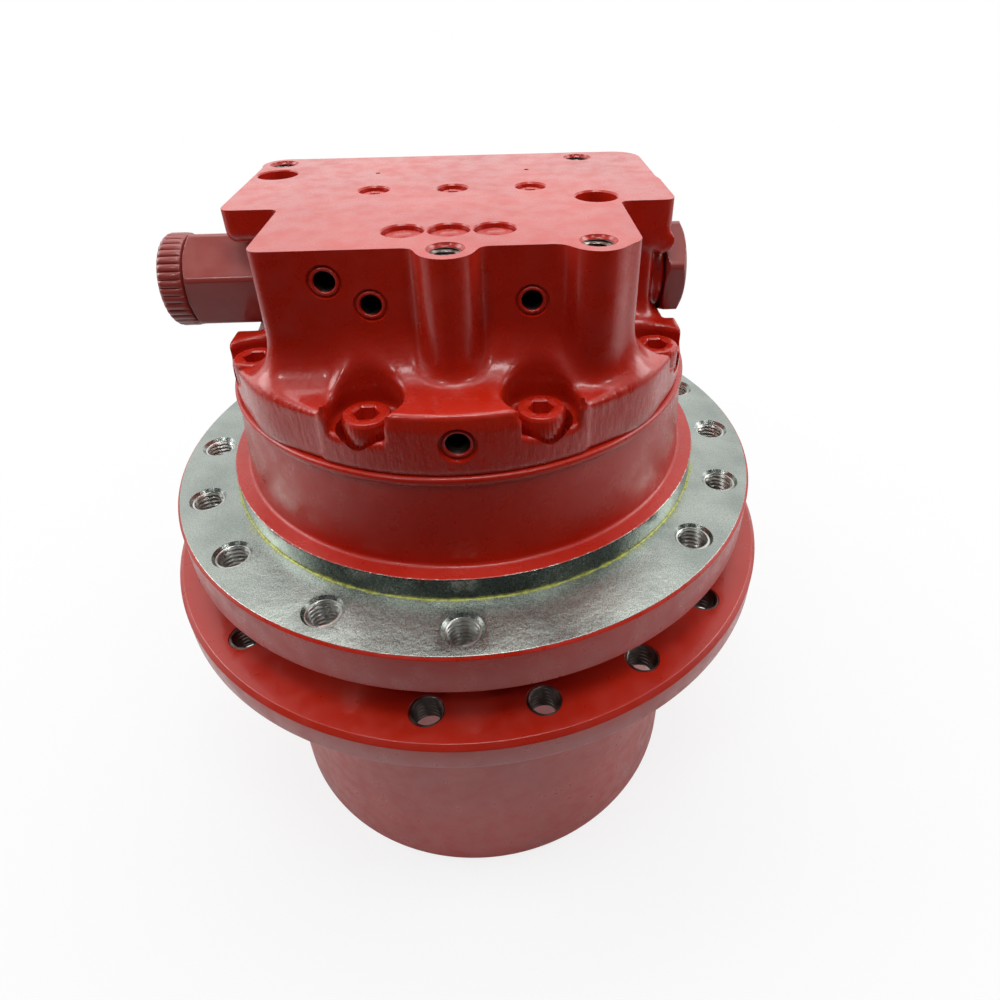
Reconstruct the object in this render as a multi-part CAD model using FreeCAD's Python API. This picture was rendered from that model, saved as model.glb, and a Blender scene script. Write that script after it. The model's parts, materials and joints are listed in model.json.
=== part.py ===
"""Excavator final drive: axial piston travel motor with a two-stage planetary gear case.

Frame: millimetres, +Z up along the drive's axis, origin in the middle of the frame flange's bare
steel face. -Y is the side with the front ports, so the long valve plug points to -X.
The frame side (casing, spindle) stands still; the hub with its sprocket flange turns round it.
"""
import FreeCAD, Part
import math
import os

from FreeCAD import Rotation, Vector

# Frame flange and the housing cylinder above it
FRAME_FLANGE_R = 100.0
FRAME_FLANGE_T = 14.0
FRAME_FLANGE_CHAMFER = 0.8
PILOT_R = 80.0
PILOT_H = 7.5
CYLINDER_FOOT_R = 74.7
CYLINDER_TOP_R = 72.9
CYLINDER_TOP_Z = 36.6
BEAD_H = 2.4
BEAD_OUT = 0.7
FRAME_BOLT_EDGE = 9.5
FRAME_BOLT_OFFSETS = (0, -25, 50, -50, 70, -70, 90, -90, 110, -110, 130, -130, 155, -155, 180)
FLANGE_THREAD_R = 4.25
FRONT_ANGLE = -90.0

# Hub: sprocket flange and drum
SPROCKET_FLANGE_R = 107.0
SPROCKET_FLANGE_T = 9.5
SPROCKET_CHAMFER = 1.4
FLANGE_GAP = 14.0
SPROCKET_BOLT_EDGE = 11.5
SPROCKET_GROUP_ANGLE = -57.0
SPROCKET_GROUPS = 3
SPROCKET_PER_GROUP = 5
SPROCKET_PITCH_ANGLE = 20.0
DRUM_WALL = 10.3
DRUM_END_Z = -142.0
DRUM_EDGE = 1.6
DRUM_SEAT = 3.5
DRUM_LEAD = 0.8
COLLAR_R = 78.0
COLLAR_GAP = 1.3

# Motor casing
CASING_FLANGE_R = 72.3
CASING_FLANGE_TOP_Z = 51.5
DRAIN_LAND_Z = 54.5
DRAIN_LAND_SWEEP = 56.0
MANIFOLD_Z = 88.0
EAR_T = 10.0
RIGHT_EAR_T = 16.0
RIGHT_EAR_BACK_Y = 12.0
EAR_LIP_R = 3.5
EAR_LIP_OUT = 1.6
BODY_LEFT_X = -48.5
BODY_RIGHT_X = 48.4
BODY_FRONT_Y = -48.6
BODY_BACK_Y = 41.0
EAR_FRONT_Y = -12.6
EAR_LEFT_X = -65.5
EAR_RIGHT_X = 64.0
EAR_BACK_Y = 49.5
EAR_CORNER_R = 9.0
BODY_CORNER_R = 3.5
NOTCH_R = 4.0
COLUMN_X = 0.0
COLUMN_Y = -49.6
COLUMN_R = 7.6
PILLAR_X = 37.4
PILLAR_Y = -46.7
PILLAR_R = 8.0
SKIRT_REACH = 7.0
SKIRT_H = 11.0
SPIGOT_H = 3.0
SPIGOT_WALL = 2.4

# Screws that hold the casing
SCREW_CIRCLE_R = 65.5
SCREW_ANGLES = (-155.0, -110.0, -70.0, -25.0, 70.0, 110.0, 155.0)
SCREW_R = 4.0
SCREW_HOLE_R = 4.5
SCREW_HEAD_R = 6.5
SCREW_HEAD_H = 8.0
SCREW_SEAT_Z = 42.0
SCREW_LENGTH = 24.0
SCREW_SOCKET_AF = 6.0
SCREW_SOCKET_DEPTH = 4.0
SPOT_FACE_R = 7.0
SPOT_FACE_TOP_R = 8.4
POCKET_R = 9.8
POCKET_FLOOR_Z = 46.0
ACCESS_HOLE_R = 6.4
ACCESS_HOLE_XY = (-58.0, 27.7)

# Holes and plugs of the manifold face and the front wall
MANIFOLD_THREAD_R = 3.4
MANIFOLD_THREAD_DEPTHS = (13.0, 16.5, 18.0, 20.0)
REAR_THREAD_XY = ((-59.2, 42.6), (42.3, 42.2))
REAR_THREAD_BOSS_R = 6.3
REAR_THREAD_BOSS_FLOOR = 2.0
RELIEF_HOLE_XY = (42.3, -7.4)
RELIEF_HOLE_R = 6.1
RELIEF_HOLE_DEPTH = 17.0
SOCKET_PLUG_XY = ((-23.8, 5.5), (0.0, 5.5), (23.8, 5.5))
SOCKET_PLUG_R = 4.5
SOCKET_PLUG_AF = 4.0
SOCKET_PLUG_SINK = 1.2
SOCKET_PLUG_T = 8.0
DISC_PLUG_XY = ((-11.6, -35.0), (0.3, -35.0), (12.2, -35.0))
DISC_PLUG_R = 5.4
DISC_PLUG_T = 3.0
DISC_PLUG_SINK = 1.3
DISC_PLUG_DISH = 1.0
VENT_HOLE_XY = ((-25.0, 26.3), (23.7, 26.3))
VENT_HOLE_R = 0.8
VENT_HOLE_DEPTH = 3.0
PORT_R = 2.7
PORT_DEPTHS = (11.0, 12.0, 13.0)
DRAIN_PORT_DEPTH = 12.0
FRONT_PORT_XZ = ((-30.5, 80.0), (-19.8, 73.5), (21.0, 73.5))
DRAIN_PORT_X = 1.0
DRAIN_PORT_Z = 46.0
DRAIN_PORT_R = 3.1

# Counterbalance valve: a spool across the casing, closed by a plug at each end
SPOOL_AXIS_Y = 3.0
SPOOL_AXIS_Z = 62.5
SPOOL_R = 8.0
SPOOL_HALF = 34.0
SPOOL_TRAVEL = 4.0
SPOOL_GROOVE_R = 5.5
SPOOL_LAND = 9.0
VALVE_BOSS_R = 17.0
VALVE_SEAT_R = 12.5
RIGHT_BUTTRESS_X = 60.0
RIGHT_BUTTRESS_BACK_Y = 19.0
LEFT_BOSS_X = -58.0
RIGHT_BOSS_X = 64.6
PLUG_ROOM = 3.4
PLUG_CLOSE_ROOM = 0.6
PLUG_THREAD_R = 11.0
PLUG_THREAD_L = 12.0
PLUG_AF = 27.0
PLUG_TURN = 71.0
PLUG_CHAMFER = 1.6
LEFT_PLUG_L = 24.0
RIGHT_PLUG_L = 6.4
PLUG_BORE_R = 7.0
PLUG_END_WALL = 8.0
CAP_R = 14.4
CAP_L = 8.4
CAP_FLUTES = 36
CAP_FLUTE_R = 0.7
CAP_STUD_R = 5.0
CAP_STUD_L = 6.0
SPRING_WIRE = 1.5

# Cavities of the spindle housing
BRAKE_BORE_R = 60.0
BRAKE_FLOOR_Z = 6.0
MOTOR_BORE_R = 46.0
MOTOR_FLOOR_Z = -28.0
SEAL_SEAT_Z = -44.0
SEAL_T = 6.0
SHAFT_SEAL_R = 20.0
SHAFT_PASSAGE_R = 14.0

# Hydraulic motor
VALVE_PLATE_R = 40.0
VALVE_PLATE_T = 4.5
KIDNEY_R = 29.0
KIDNEY_HALF = 3.5
KIDNEY_SWEEP = 130.0
BLOCK_R = 43.0
BLOCK_BOTTOM_Z = 4.0
PISTONS = 7
PISTON_CIRCLE_R = 29.0
PISTON_R = 7.5
PISTON_L = 33.5
PISTON_NECK_R = 3.4
PISTON_NECK_L = 5.5
BALL_R = 4.4
SWASH_R = 43.0
SWASH_ANGLE = 15.0
SWASH_CENTRE_Z = -16.0
SWASH_BORE_R = 15.0
SLIPPER_R = 8.5
SLIPPER_H = 6.0
SLIPPER_FLANGE_T = 2.4
SLIPPER_COLLAR_R = 6.3
SLIPPER_COLLAR_TOP = 1.5
RETAINER_R = 41.5
RETAINER_BORE_R = 19.0
RETAINER_T = 2.0
SHAFT_BLOCK_R = 10.0
SHAFT_TOP_R = 9.0
SHAFT_TOP_Z = 46.4
SHAFT_LOWER_R = 12.5
SHAFT_SEAL_SEAT_R = 12.0
SHAFT_QUILL_R = 7.5
SHAFT_SPLINE_R = 6.0

# Parking brake
STEEL_DISCS = 2
BRAKE_DISC_T = 2.5
FRICTION_DISC_R = 57.0
BRAKE_RING_BORE_R = 45.5
BRAKE_PISTON_H = 10.0
BRAKE_SPRINGS = 8
BRAKE_SPRING_CIRCLE_R = 52.5
BRAKE_SPRING_R = 3.2
BRAKE_SPRING_POCKET = 5.0
BRAKE_TRAVEL = 2.0

# Shaft bearings
UPPER_BEARING_R = 16.0
UPPER_BEARING_Z = 37.2
UPPER_BEARING_T = 9.0
LOWER_BEARING_R = 22.0
LOWER_BEARING_T = 12.0
BEARING_RING_WALL = 3.0
SHAFT_ROLLERS = 10

# Main bearings of the hub, and their nut
JOURNAL_R = 52.0
JOURNAL_NECK_R = 57.0
JOURNAL_SHOULDER_Z = -31.0
MAIN_ROLLER_R = 4.0
MAIN_BEARING_T = 14.0
MAIN_BEARING_RACE = 4.0
MAIN_BEARING_RIB = 4.0
HUB_RIB_REACH = 4.5
MAIN_ROLLERS = 16
NUT_R = 60.0
NUT_T = 7.0
NUT_SLOTS = 4
NUT_SLOT_W = 7.0
NUT_SLOT_D = 3.0

# Floating face seal between spindle and hub
SEAL_BORE_R = 70.5
SEAL_RING_R = 66.0
SEAL_RING_BORE_R = 60.0
SEAL_RING_H = 8.0
SEAL_FACE_GAP = 0.1
SEAL_CEILING_Z = -7.5
HUB_PASSAGE_R = 58.0

# Planetary gears
MODULE = 2.0
PRESSURE_ANGLE = 20.0
BACKLASH = 0.28
ADDENDUM = 1.0
DEDENDUM = 1.25
RING_ADDENDUM = 0.9
RING_TEETH = 60
SUN_2_TEETH = 18
SUN_1_TEETH = 12
PLANETS = 3
RING_GEAR_R = 70.0
RING_GEAR_TOP_Z = -71.5
RING_GEAR_BOTTOM_Z = -128.0
STAGE_2_TOP_Z = -71.0
STAGE_2_WIDTH = 22.0
STAGE_1_TOP_Z = -105.0
STAGE_1_WIDTH = 20.0
PIN_2_R = 9.0
PIN_1_R = 7.0
PIN_2_PRESS = 18.0
BUSH_WALL = 2.5
PIN_PLATE_R = 49.0
PIN_PLATE_BORE_R = 21.0
PIN_PLATE_T = 3.0
CARRIER_R = 46.0
CARRIER_T = 5.0
SUN_2_BORE_R = 9.0
SUN_2_SHANK_R = 14.0

# End cover of the gear case
COVER_R = 72.0
COVER_T = 9.0
COVER_SINK = 3.0
COVER_LEDGE_T = 3.0
COVER_RECESS_R = 50.0
COVER_RECESS_D = 2.0
COVER_RING_T = 2.0
COVER_RING_OUT = 1.6
COVER_RING_IN = 3.0
COVER_RING_OPENING = 24.0
COVER_SEAL_W = 3.0
COVER_SEAL_D = 2.2
COVER_PLUG_R = 8.0
COVER_PLUG_CIRCLE_R = 38.0
COVER_PLUG_AF = 8.0
BUTTON_R = 8.0
BUTTON_GAP = 0.3

# Clearances
RUNNING_GAP = 0.05
END_GAP = 0.5
CUT_START = 1.0

# Places worked out from the sizes above
TOP = Vector(0, 0, 1)
FRAME_BOLT_R = FRAME_FLANGE_R - FRAME_BOLT_EDGE
SPROCKET_BOLT_R = SPROCKET_FLANGE_R - SPROCKET_BOLT_EDGE
DRUM_R = COVER_R + DRUM_WALL
SPROCKET_TOP_Z = -FRAME_FLANGE_T - FLANGE_GAP
SPROCKET_BOTTOM_Z = SPROCKET_TOP_Z - SPROCKET_FLANGE_T
DRUM_TOP_Z = SPROCKET_BOTTOM_Z + DRUM_SEAT
COLLAR_TOP_Z = -FRAME_FLANGE_T - COLLAR_GAP
EAR_BOTTOM_Z = MANIFOLD_Z - EAR_T
RIGHT_EAR_BOTTOM_Z = MANIFOLD_Z - RIGHT_EAR_T
PLUG_CORNER_R = PLUG_AF / math.sqrt(3)
VALVE_PLATE_Z = CYLINDER_TOP_Z - VALVE_PLATE_T
SEAL_FACE_Z = SEAL_CEILING_Z - SEAL_RING_H
HUB_SEAL_FLOOR_Z = SEAL_FACE_Z - SEAL_FACE_GAP - SEAL_RING_H
UPPER_MAIN_Z = JOURNAL_SHOULDER_Z - MAIN_BEARING_T
LOWER_MAIN_Z = UPPER_MAIN_Z - MAIN_BEARING_RIB - MAIN_BEARING_T
NUT_Z = LOWER_MAIN_Z - NUT_T
SPINDLE_END_Z = NUT_Z
THREAD_R = JOURNAL_R - 1.5
MAIN_BEARING_OUT_R = JOURNAL_R + 2 * MAIN_BEARING_RACE + 2 * MAIN_ROLLER_R
HUB_RIB_R = MAIN_BEARING_OUT_R - HUB_RIB_REACH
COVER_BOTTOM_Z = DRUM_END_Z + COVER_SINK
COVER_TOP_Z = COVER_BOTTOM_Z + COVER_T
LOWER_BEARING_Z = MOTOR_FLOOR_Z - 2.0 - LOWER_BEARING_T
PIN_PLATE_TOP_Z = STAGE_2_TOP_Z - STAGE_2_WIDTH - END_GAP
PIN_PLATE_Z = PIN_PLATE_TOP_Z - PIN_PLATE_T
CARRIER_Z = STAGE_1_TOP_Z + END_GAP
STAGE_1_BOTTOM_Z = STAGE_1_TOP_Z - STAGE_1_WIDTH
SHAFT_END_Z = COVER_TOP_Z + COVER_LEDGE_T
PLANET_2_TEETH = (RING_TEETH - SUN_2_TEETH) // 2
PLANET_1_TEETH = (RING_TEETH - SUN_1_TEETH) // 2
CENTRE_2 = MODULE * (SUN_2_TEETH + PLANET_2_TEETH) / 2
CENTRE_1 = MODULE * (SUN_1_TEETH + PLANET_1_TEETH) / 2
BRAKE_STACK_TOP_Z = BRAKE_FLOOR_Z + 2 * STEEL_DISCS * BRAKE_DISC_T
BRAKE_PISTON_TOP_Z = BRAKE_STACK_TOP_Z + BRAKE_PISTON_H


def save(name, shape):
    """Write one node's solids to its file."""
    shape.exportStep(os.path.join("parts", name + ".step"))


def polar(radius, degrees, z=0.0):
    """A point at a radius and angle round the drive's axis."""
    turn = math.radians(degrees)
    return Vector(radius * math.cos(turn), radius * math.sin(turn), z)


def rod(radius, z_low, z_high, at=Vector(0, 0, 0)):
    """An upright cylinder between two heights."""
    return Part.makeCylinder(radius, z_high - z_low, Vector(at.x, at.y, z_low), TOP)


def tube(r_out, r_in, z_low, z_high, at=Vector(0, 0, 0)):
    """An upright tube between two heights."""
    return rod(r_out, z_low, z_high, at).cut(rod(r_in, z_low, z_high, at))


def cone(r_low, r_high, z_low, z_high, at=Vector(0, 0, 0)):
    """An upright cone between two heights."""
    return Part.makeCone(r_low, r_high, z_high - z_low, Vector(at.x, at.y, z_low), TOP)


def cross_rod(radius, x_low, x_high):
    """A cylinder along X on the spool's axis."""
    start = Vector(x_low, SPOOL_AXIS_Y, SPOOL_AXIS_Z)
    return Part.makeCylinder(radius, x_high - x_low, start, Vector(1, 0, 0))


def turned(profile):
    """A solid turned from (radius, height) points round the drive's axis."""
    points = [Vector(r, 0, z) for r, z in profile]
    face = Part.Face(Part.makePolygon(points + points[:1]))
    return face.revolve(Vector(0, 0, 0), TOP, 360)


def rounded_outline(corners, z):
    """A closed wire through (x, y, radius) corners, each rounded by its own radius."""
    edges = []
    ends = []
    count = len(corners)
    for index, (x, y, radius) in enumerate(corners):
        before = corners[index - 1]
        after = corners[(index + 1) % count]
        here = Vector(x, y, z)
        back = (Vector(before[0], before[1], z) - here).normalize()
        on = (Vector(after[0], after[1], z) - here).normalize()
        if radius <= 0:
            ends.append((here, here))
            continue
        half = back.getAngle(on) / 2
        start = here + back * (radius / math.tan(half))
        finish = here + on * (radius / math.tan(half))
        middle = here + (back + on).normalize() * (radius / math.sin(half) - radius)
        edges.append((index, Part.Arc(start, middle, finish).toShape()))
        ends.append((start, finish))
    arcs = dict(edges)
    path = []
    for index in range(count):
        if index in arcs:
            path.append(arcs[index])
        leave = ends[index][1]
        reach = ends[(index + 1) % count][0]
        if (reach - leave).Length > 1e-6:
            path.append(Part.LineSegment(leave, reach).toShape())
    return Part.Wire(Part.__sortEdges__(path))


def prism(wire, height):
    """A straight solid on a closed flat wire."""
    return Part.Face(wire).extrude(Vector(0, 0, height))


def skirt(wire, reach, height, z_low):
    """A flared foot: the wire's outline grown by a reach at the bottom, closing in upwards."""
    steps = ((1.0, 0.0), (0.42, 0.24), (0.12, 0.58), (0.0, 1.0))
    wires = []
    for grow, rise in steps:
        grown = wire.makeOffset2D(reach * grow + 0.01, join=0, openResult=False)
        wires.append(grown.translated(Vector(0, 0, z_low + height * rise - wire.Vertexes[0].Z)))
    return Part.makeLoft(wires, True, True)


def hexagon(across_flats, height, turn=0.0):
    """An upright hexagonal prism on z = 0."""
    corner_r = across_flats / math.sqrt(3)
    points = [polar(corner_r, turn + 60 * side) for side in range(6)]
    return prism(Part.makePolygon(points + points[:1]), height)


def ring_of(shape, angles):
    """Copies of a shape turned to each angle round the drive's axis."""
    copies = []
    for angle in angles:
        copy = shape.copy()
        copy.rotate(Vector(0, 0, 0), TOP, angle)
        copies.append(copy)
    return copies


def even_angles(count, first=0.0):
    """Evenly spaced angles round the circle."""
    return [first + 360.0 * index / count for index in range(count)]


def involute(angle):
    """The involute function of a pressure angle in radians."""
    return math.tan(angle) - angle


def tooth_half_angle(teeth, radius, internal):
    """Half of one tooth's angle, in radians, at a radius of an involute gear."""
    pitch_r = MODULE * teeth / 2
    base_r = pitch_r * math.cos(math.radians(PRESSURE_ANGLE))
    pressure = math.acos(min(1.0, base_r / radius))
    lean = involute(math.radians(PRESSURE_ANGLE)) - involute(pressure)
    if internal:
        lean = -lean
    return math.pi / (2 * teeth) + lean - BACKLASH / (2 * pitch_r)


def gear_wire(teeth, tip_r, root_r, phase, internal=False):
    """The outline of a gear with straight flanks from root to tip, one tooth at the phase angle."""
    points = []
    root_half = math.degrees(tooth_half_angle(teeth, root_r, internal))
    tip_half = math.degrees(tooth_half_angle(teeth, tip_r, internal))
    for tooth in range(teeth):
        middle = phase + 360.0 * tooth / teeth
        points.append(polar(root_r, middle - root_half))
        points.append(polar(tip_r, middle - tip_half))
        points.append(polar(tip_r, middle + tip_half))
        points.append(polar(root_r, middle + root_half))
    return Part.makePolygon(points + points[:1])


def spur_gear(teeth, z_low, width, phase):
    """An external gear on the drive's axis."""
    pitch_r = MODULE * teeth / 2
    wire = gear_wire(teeth, pitch_r + ADDENDUM * MODULE, pitch_r - DEDENDUM * MODULE, phase)
    return prism(wire, width).translated(Vector(0, 0, z_low))


def planet_phase(teeth, place_angle):
    """The phase that puts a planet at an angle in mesh with the ring gear's tooth at angle 0."""
    ring_pitch = 360.0 / RING_TEETH
    planet_pitch = 360.0 / teeth
    ring_phase = place_angle / ring_pitch
    return place_angle - (ring_phase + 0.5) * planet_pitch


def sun_phase(sun_teeth, planet_teeth, place_angle):
    """The phase that puts the sun in mesh with the planet at an angle."""
    planet_pitch = 360.0 / planet_teeth
    towards_sun = place_angle + 180.0 - planet_phase(planet_teeth, place_angle)
    return place_angle - (0.5 - towards_sun / planet_pitch) * 360.0 / sun_teeth


def bolt_angles():
    """The frame flange's hole angles."""
    return [FRONT_ANGLE + offset for offset in FRAME_BOLT_OFFSETS]


def sprocket_angles():
    """The sprocket flange's hole angles: equal groups with one place left free between them."""
    angles = []
    middle = (SPROCKET_PER_GROUP - 1) / 2
    for group in even_angles(SPROCKET_GROUPS, SPROCKET_GROUP_ANGLE):
        for hole in range(SPROCKET_PER_GROUP):
            angles.append(group + (hole - middle) * SPROCKET_PITCH_ANGLE)
    return angles


def spindle_housing():
    """The standing housing: motor cylinder, pilot, frame flange, bearing journal."""
    body = turned([
        (0, SPINDLE_END_Z), (THREAD_R, SPINDLE_END_Z), (THREAD_R, LOWER_MAIN_Z),
        (JOURNAL_R, LOWER_MAIN_Z), (JOURNAL_R, JOURNAL_SHOULDER_Z),
        (JOURNAL_NECK_R, JOURNAL_SHOULDER_Z), (JOURNAL_NECK_R, SEAL_CEILING_Z),
        (SEAL_BORE_R, SEAL_CEILING_Z), (SEAL_BORE_R, -FRAME_FLANGE_T),
        (FRAME_FLANGE_R, -FRAME_FLANGE_T), (FRAME_FLANGE_R, -FRAME_FLANGE_CHAMFER),
        (FRAME_FLANGE_R - FRAME_FLANGE_CHAMFER, 0), (PILOT_R, 0), (PILOT_R, PILOT_H),
        (CYLINDER_FOOT_R, PILOT_H), (CYLINDER_TOP_R, CYLINDER_TOP_Z - BEAD_H),
        (CYLINDER_TOP_R + BEAD_OUT, CYLINDER_TOP_Z - BEAD_H + BEAD_OUT),
        (CYLINDER_TOP_R + BEAD_OUT, CYLINDER_TOP_Z - BEAD_OUT),
        (CYLINDER_TOP_R, CYLINDER_TOP_Z), (0, CYLINDER_TOP_Z),
    ])
    cavity = turned([
        (0, SPINDLE_END_Z), (SHAFT_PASSAGE_R, SPINDLE_END_Z),
        (SHAFT_PASSAGE_R, SEAL_SEAT_Z - SEAL_T), (SHAFT_SEAL_R, SEAL_SEAT_Z - SEAL_T),
        (SHAFT_SEAL_R, LOWER_BEARING_Z), (LOWER_BEARING_R, LOWER_BEARING_Z),
        (LOWER_BEARING_R, MOTOR_FLOOR_Z), (MOTOR_BORE_R, MOTOR_FLOOR_Z),
        (MOTOR_BORE_R, BRAKE_FLOOR_Z), (BRAKE_BORE_R, BRAKE_FLOOR_Z),
        (BRAKE_BORE_R, CYLINDER_TOP_Z), (0, CYLINDER_TOP_Z),
    ])
    flange_hole = rod(FLANGE_THREAD_R, -FRAME_FLANGE_T, 0, Vector(FRAME_BOLT_R, 0, 0))
    screw_hole = rod(SCREW_R, SCREW_SEAT_Z - SCREW_LENGTH, CYLINDER_TOP_Z,
                     Vector(SCREW_CIRCLE_R, 0, 0))
    pin_hole = rod(PIN_2_R, SPINDLE_END_Z, SPINDLE_END_Z + PIN_2_PRESS, Vector(CENTRE_2, 0, 0))
    cuts = [cavity]
    cuts += ring_of(flange_hole, bolt_angles())
    cuts += ring_of(screw_hole, SCREW_ANGLES)
    cuts += ring_of(pin_hole, even_angles(PLANETS))
    return body.cut(cuts)


def casing_front_outline(z):
    """The casing's narrow front part seen from above."""
    return rounded_outline([
        (BODY_LEFT_X, BODY_FRONT_Y, BODY_CORNER_R), (BODY_RIGHT_X, BODY_FRONT_Y, BODY_CORNER_R),
        (BODY_RIGHT_X, BODY_BACK_Y, NOTCH_R), (BODY_LEFT_X, BODY_BACK_Y, NOTCH_R),
    ], z)


def casing_ear_outline(z):
    """The wide rear part of the manifold plate."""
    return rounded_outline([
        (EAR_LEFT_X, EAR_FRONT_Y, BODY_CORNER_R), (EAR_RIGHT_X, EAR_FRONT_Y, BODY_CORNER_R),
        (EAR_RIGHT_X, EAR_BACK_Y, EAR_CORNER_R), (EAR_LEFT_X, EAR_BACK_Y, EAR_CORNER_R),
    ], z)


def manifold_threads():
    """Places of the four tapped holes in the manifold face."""
    places = [Vector(x, y, 0) for x, y in REAR_THREAD_XY]
    places.append(Vector(COLUMN_X, COLUMN_Y, 0))
    places.append(Vector(PILLAR_X, PILLAR_Y, 0))
    return places


def port_cut(radius, x, wall_y, z, depth):
    """A port drilled from a wall on the front side, along +Y."""
    outside = Vector(x, wall_y - CUT_START, z)
    return Part.makeCylinder(radius, CUT_START + depth, outside, Vector(0, 1, 0))


def casing_ports():
    """Cuts for the front ports and the drain port."""
    cuts = [port_cut(PORT_R, x, BODY_FRONT_Y, z, depth)
            for (x, z), depth in zip(FRONT_PORT_XZ, PORT_DEPTHS)]
    cuts.append(port_cut(DRAIN_PORT_R, DRAIN_PORT_X, -CASING_FLANGE_R, DRAIN_PORT_Z,
                         DRAIN_PORT_DEPTH))
    return cuts


def manifold_cuts():
    """Cuts from the manifold face: tapped holes, plug seats, relief and vent holes."""
    cuts = []
    for place, depth in zip(manifold_threads(), MANIFOLD_THREAD_DEPTHS):
        cuts.append(rod(MANIFOLD_THREAD_R, MANIFOLD_Z - depth, MANIFOLD_Z, place))
    relief = Vector(RELIEF_HOLE_XY[0], RELIEF_HOLE_XY[1], 0)
    cuts.append(rod(RELIEF_HOLE_R, MANIFOLD_Z - RELIEF_HOLE_DEPTH, MANIFOLD_Z, relief))
    for x, y in SOCKET_PLUG_XY:
        bottom = MANIFOLD_Z - SOCKET_PLUG_SINK - SOCKET_PLUG_T
        cuts.append(rod(SOCKET_PLUG_R, bottom, MANIFOLD_Z, Vector(x, y, 0)))
    for x, y in DISC_PLUG_XY:
        bottom = MANIFOLD_Z - DISC_PLUG_SINK - DISC_PLUG_T
        cuts.append(rod(DISC_PLUG_R, bottom, MANIFOLD_Z, Vector(x, y, 0)))
    for x, y in VENT_HOLE_XY:
        cuts.append(rod(VENT_HOLE_R, MANIFOLD_Z - VENT_HOLE_DEPTH, MANIFOLD_Z, Vector(x, y, 0)))
    return cuts


def screw_cuts():
    """Pocket, tapered spot face and hole of each casing screw, and the access hole above one."""
    at = Vector(SCREW_CIRCLE_R, 0, 0)
    pocket = rod(POCKET_R, POCKET_FLOOR_Z, EAR_BOTTOM_Z, at)
    pocket = pocket.fuse(cone(SPOT_FACE_R, SPOT_FACE_TOP_R, SCREW_SEAT_Z, POCKET_FLOOR_Z, at))
    pocket = pocket.fuse(rod(SCREW_HOLE_R, CYLINDER_TOP_Z, SCREW_SEAT_Z, at))
    cuts = ring_of(pocket, SCREW_ANGLES)
    access = Vector(*ACCESS_HOLE_XY, 0)
    cuts.append(rod(ACCESS_HOLE_R, EAR_BOTTOM_Z, MANIFOLD_Z, access))
    return cuts


def rear_thread_bosses():
    """The bosses under the ears that carry the two rear tapped holes."""
    bosses = []
    for (x, y), depth in zip(REAR_THREAD_XY, MANIFOLD_THREAD_DEPTHS):
        low = MANIFOLD_Z - depth - REAR_THREAD_BOSS_FLOOR
        bosses.append(rod(REAR_THREAD_BOSS_R, low, MANIFOLD_Z, Vector(x, y, 0)))
    return bosses


def drain_land():
    """The raised land over the drain port and round the two front screw pockets."""
    inner = -COLUMN_Y - COLUMN_R
    outer = CASING_FLANGE_R
    profile = [Vector(inner, 0, CASING_FLANGE_TOP_Z), Vector(outer, 0, CASING_FLANGE_TOP_Z),
               Vector(outer, 0, DRAIN_LAND_Z - BEAD_OUT), Vector(outer - BEAD_OUT, 0, DRAIN_LAND_Z),
               Vector(inner, 0, DRAIN_LAND_Z)]
    face = Part.Face(Part.makePolygon(profile + profile[:1]))
    land = face.revolve(Vector(0, 0, 0), TOP, DRAIN_LAND_SWEEP)
    land.rotate(Vector(0, 0, 0), TOP, FRONT_ANGLE - DRAIN_LAND_SWEEP / 2)
    return land


def right_ear():
    """The deep right ear with the rounded lip along its lower edge."""
    depth = RIGHT_EAR_BACK_Y - EAR_FRONT_Y
    wall = Part.makeBox(EAR_RIGHT_X - BODY_RIGHT_X, depth, RIGHT_EAR_T - EAR_LIP_R,
                        Vector(BODY_RIGHT_X, EAR_FRONT_Y, RIGHT_EAR_BOTTOM_Z + EAR_LIP_R))
    start = Vector(EAR_RIGHT_X + EAR_LIP_OUT - EAR_LIP_R, EAR_FRONT_Y,
                   RIGHT_EAR_BOTTOM_Z + EAR_LIP_R)
    lip = Part.makeCylinder(EAR_LIP_R, depth, start, Vector(0, 1, 0))
    web = Part.makeBox(start.x - BODY_RIGHT_X, depth, 2 * EAR_LIP_R,
                       Vector(BODY_RIGHT_X, EAR_FRONT_Y, RIGHT_EAR_BOTTOM_Z))
    return wall.fuse([lip, web])


def right_buttress():
    """The wall under the right ear that carries the right end of the spool's bore."""
    depth = RIGHT_BUTTRESS_BACK_Y - EAR_FRONT_Y
    return Part.makeBox(RIGHT_BUTTRESS_X, depth, RIGHT_EAR_BOTTOM_Z - CASING_FLANGE_TOP_Z,
                        Vector(0, EAR_FRONT_Y, CASING_FLANGE_TOP_Z))


def plug_rooms():
    """The scallops that give the valve plugs' hexagons room over the flange."""
    room_r = PLUG_CORNER_R + PLUG_ROOM
    reach = CASING_FLANGE_R + PLUG_ROOM
    ears = Part.makeBox(4 * reach, 4 * reach, RIGHT_EAR_T + EAR_T,
                        Vector(-2 * reach, -2 * reach, RIGHT_EAR_BOTTOM_Z))
    left = cross_rod(room_r, -reach, LEFT_BOSS_X).cut(ears)
    right = cross_rod(room_r, RIGHT_BOSS_X, reach).cut(ears)
    right_close = cross_rod(PLUG_CORNER_R + PLUG_CLOSE_ROOM, RIGHT_BOSS_X, reach)
    return [left, right, right_close]


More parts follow.
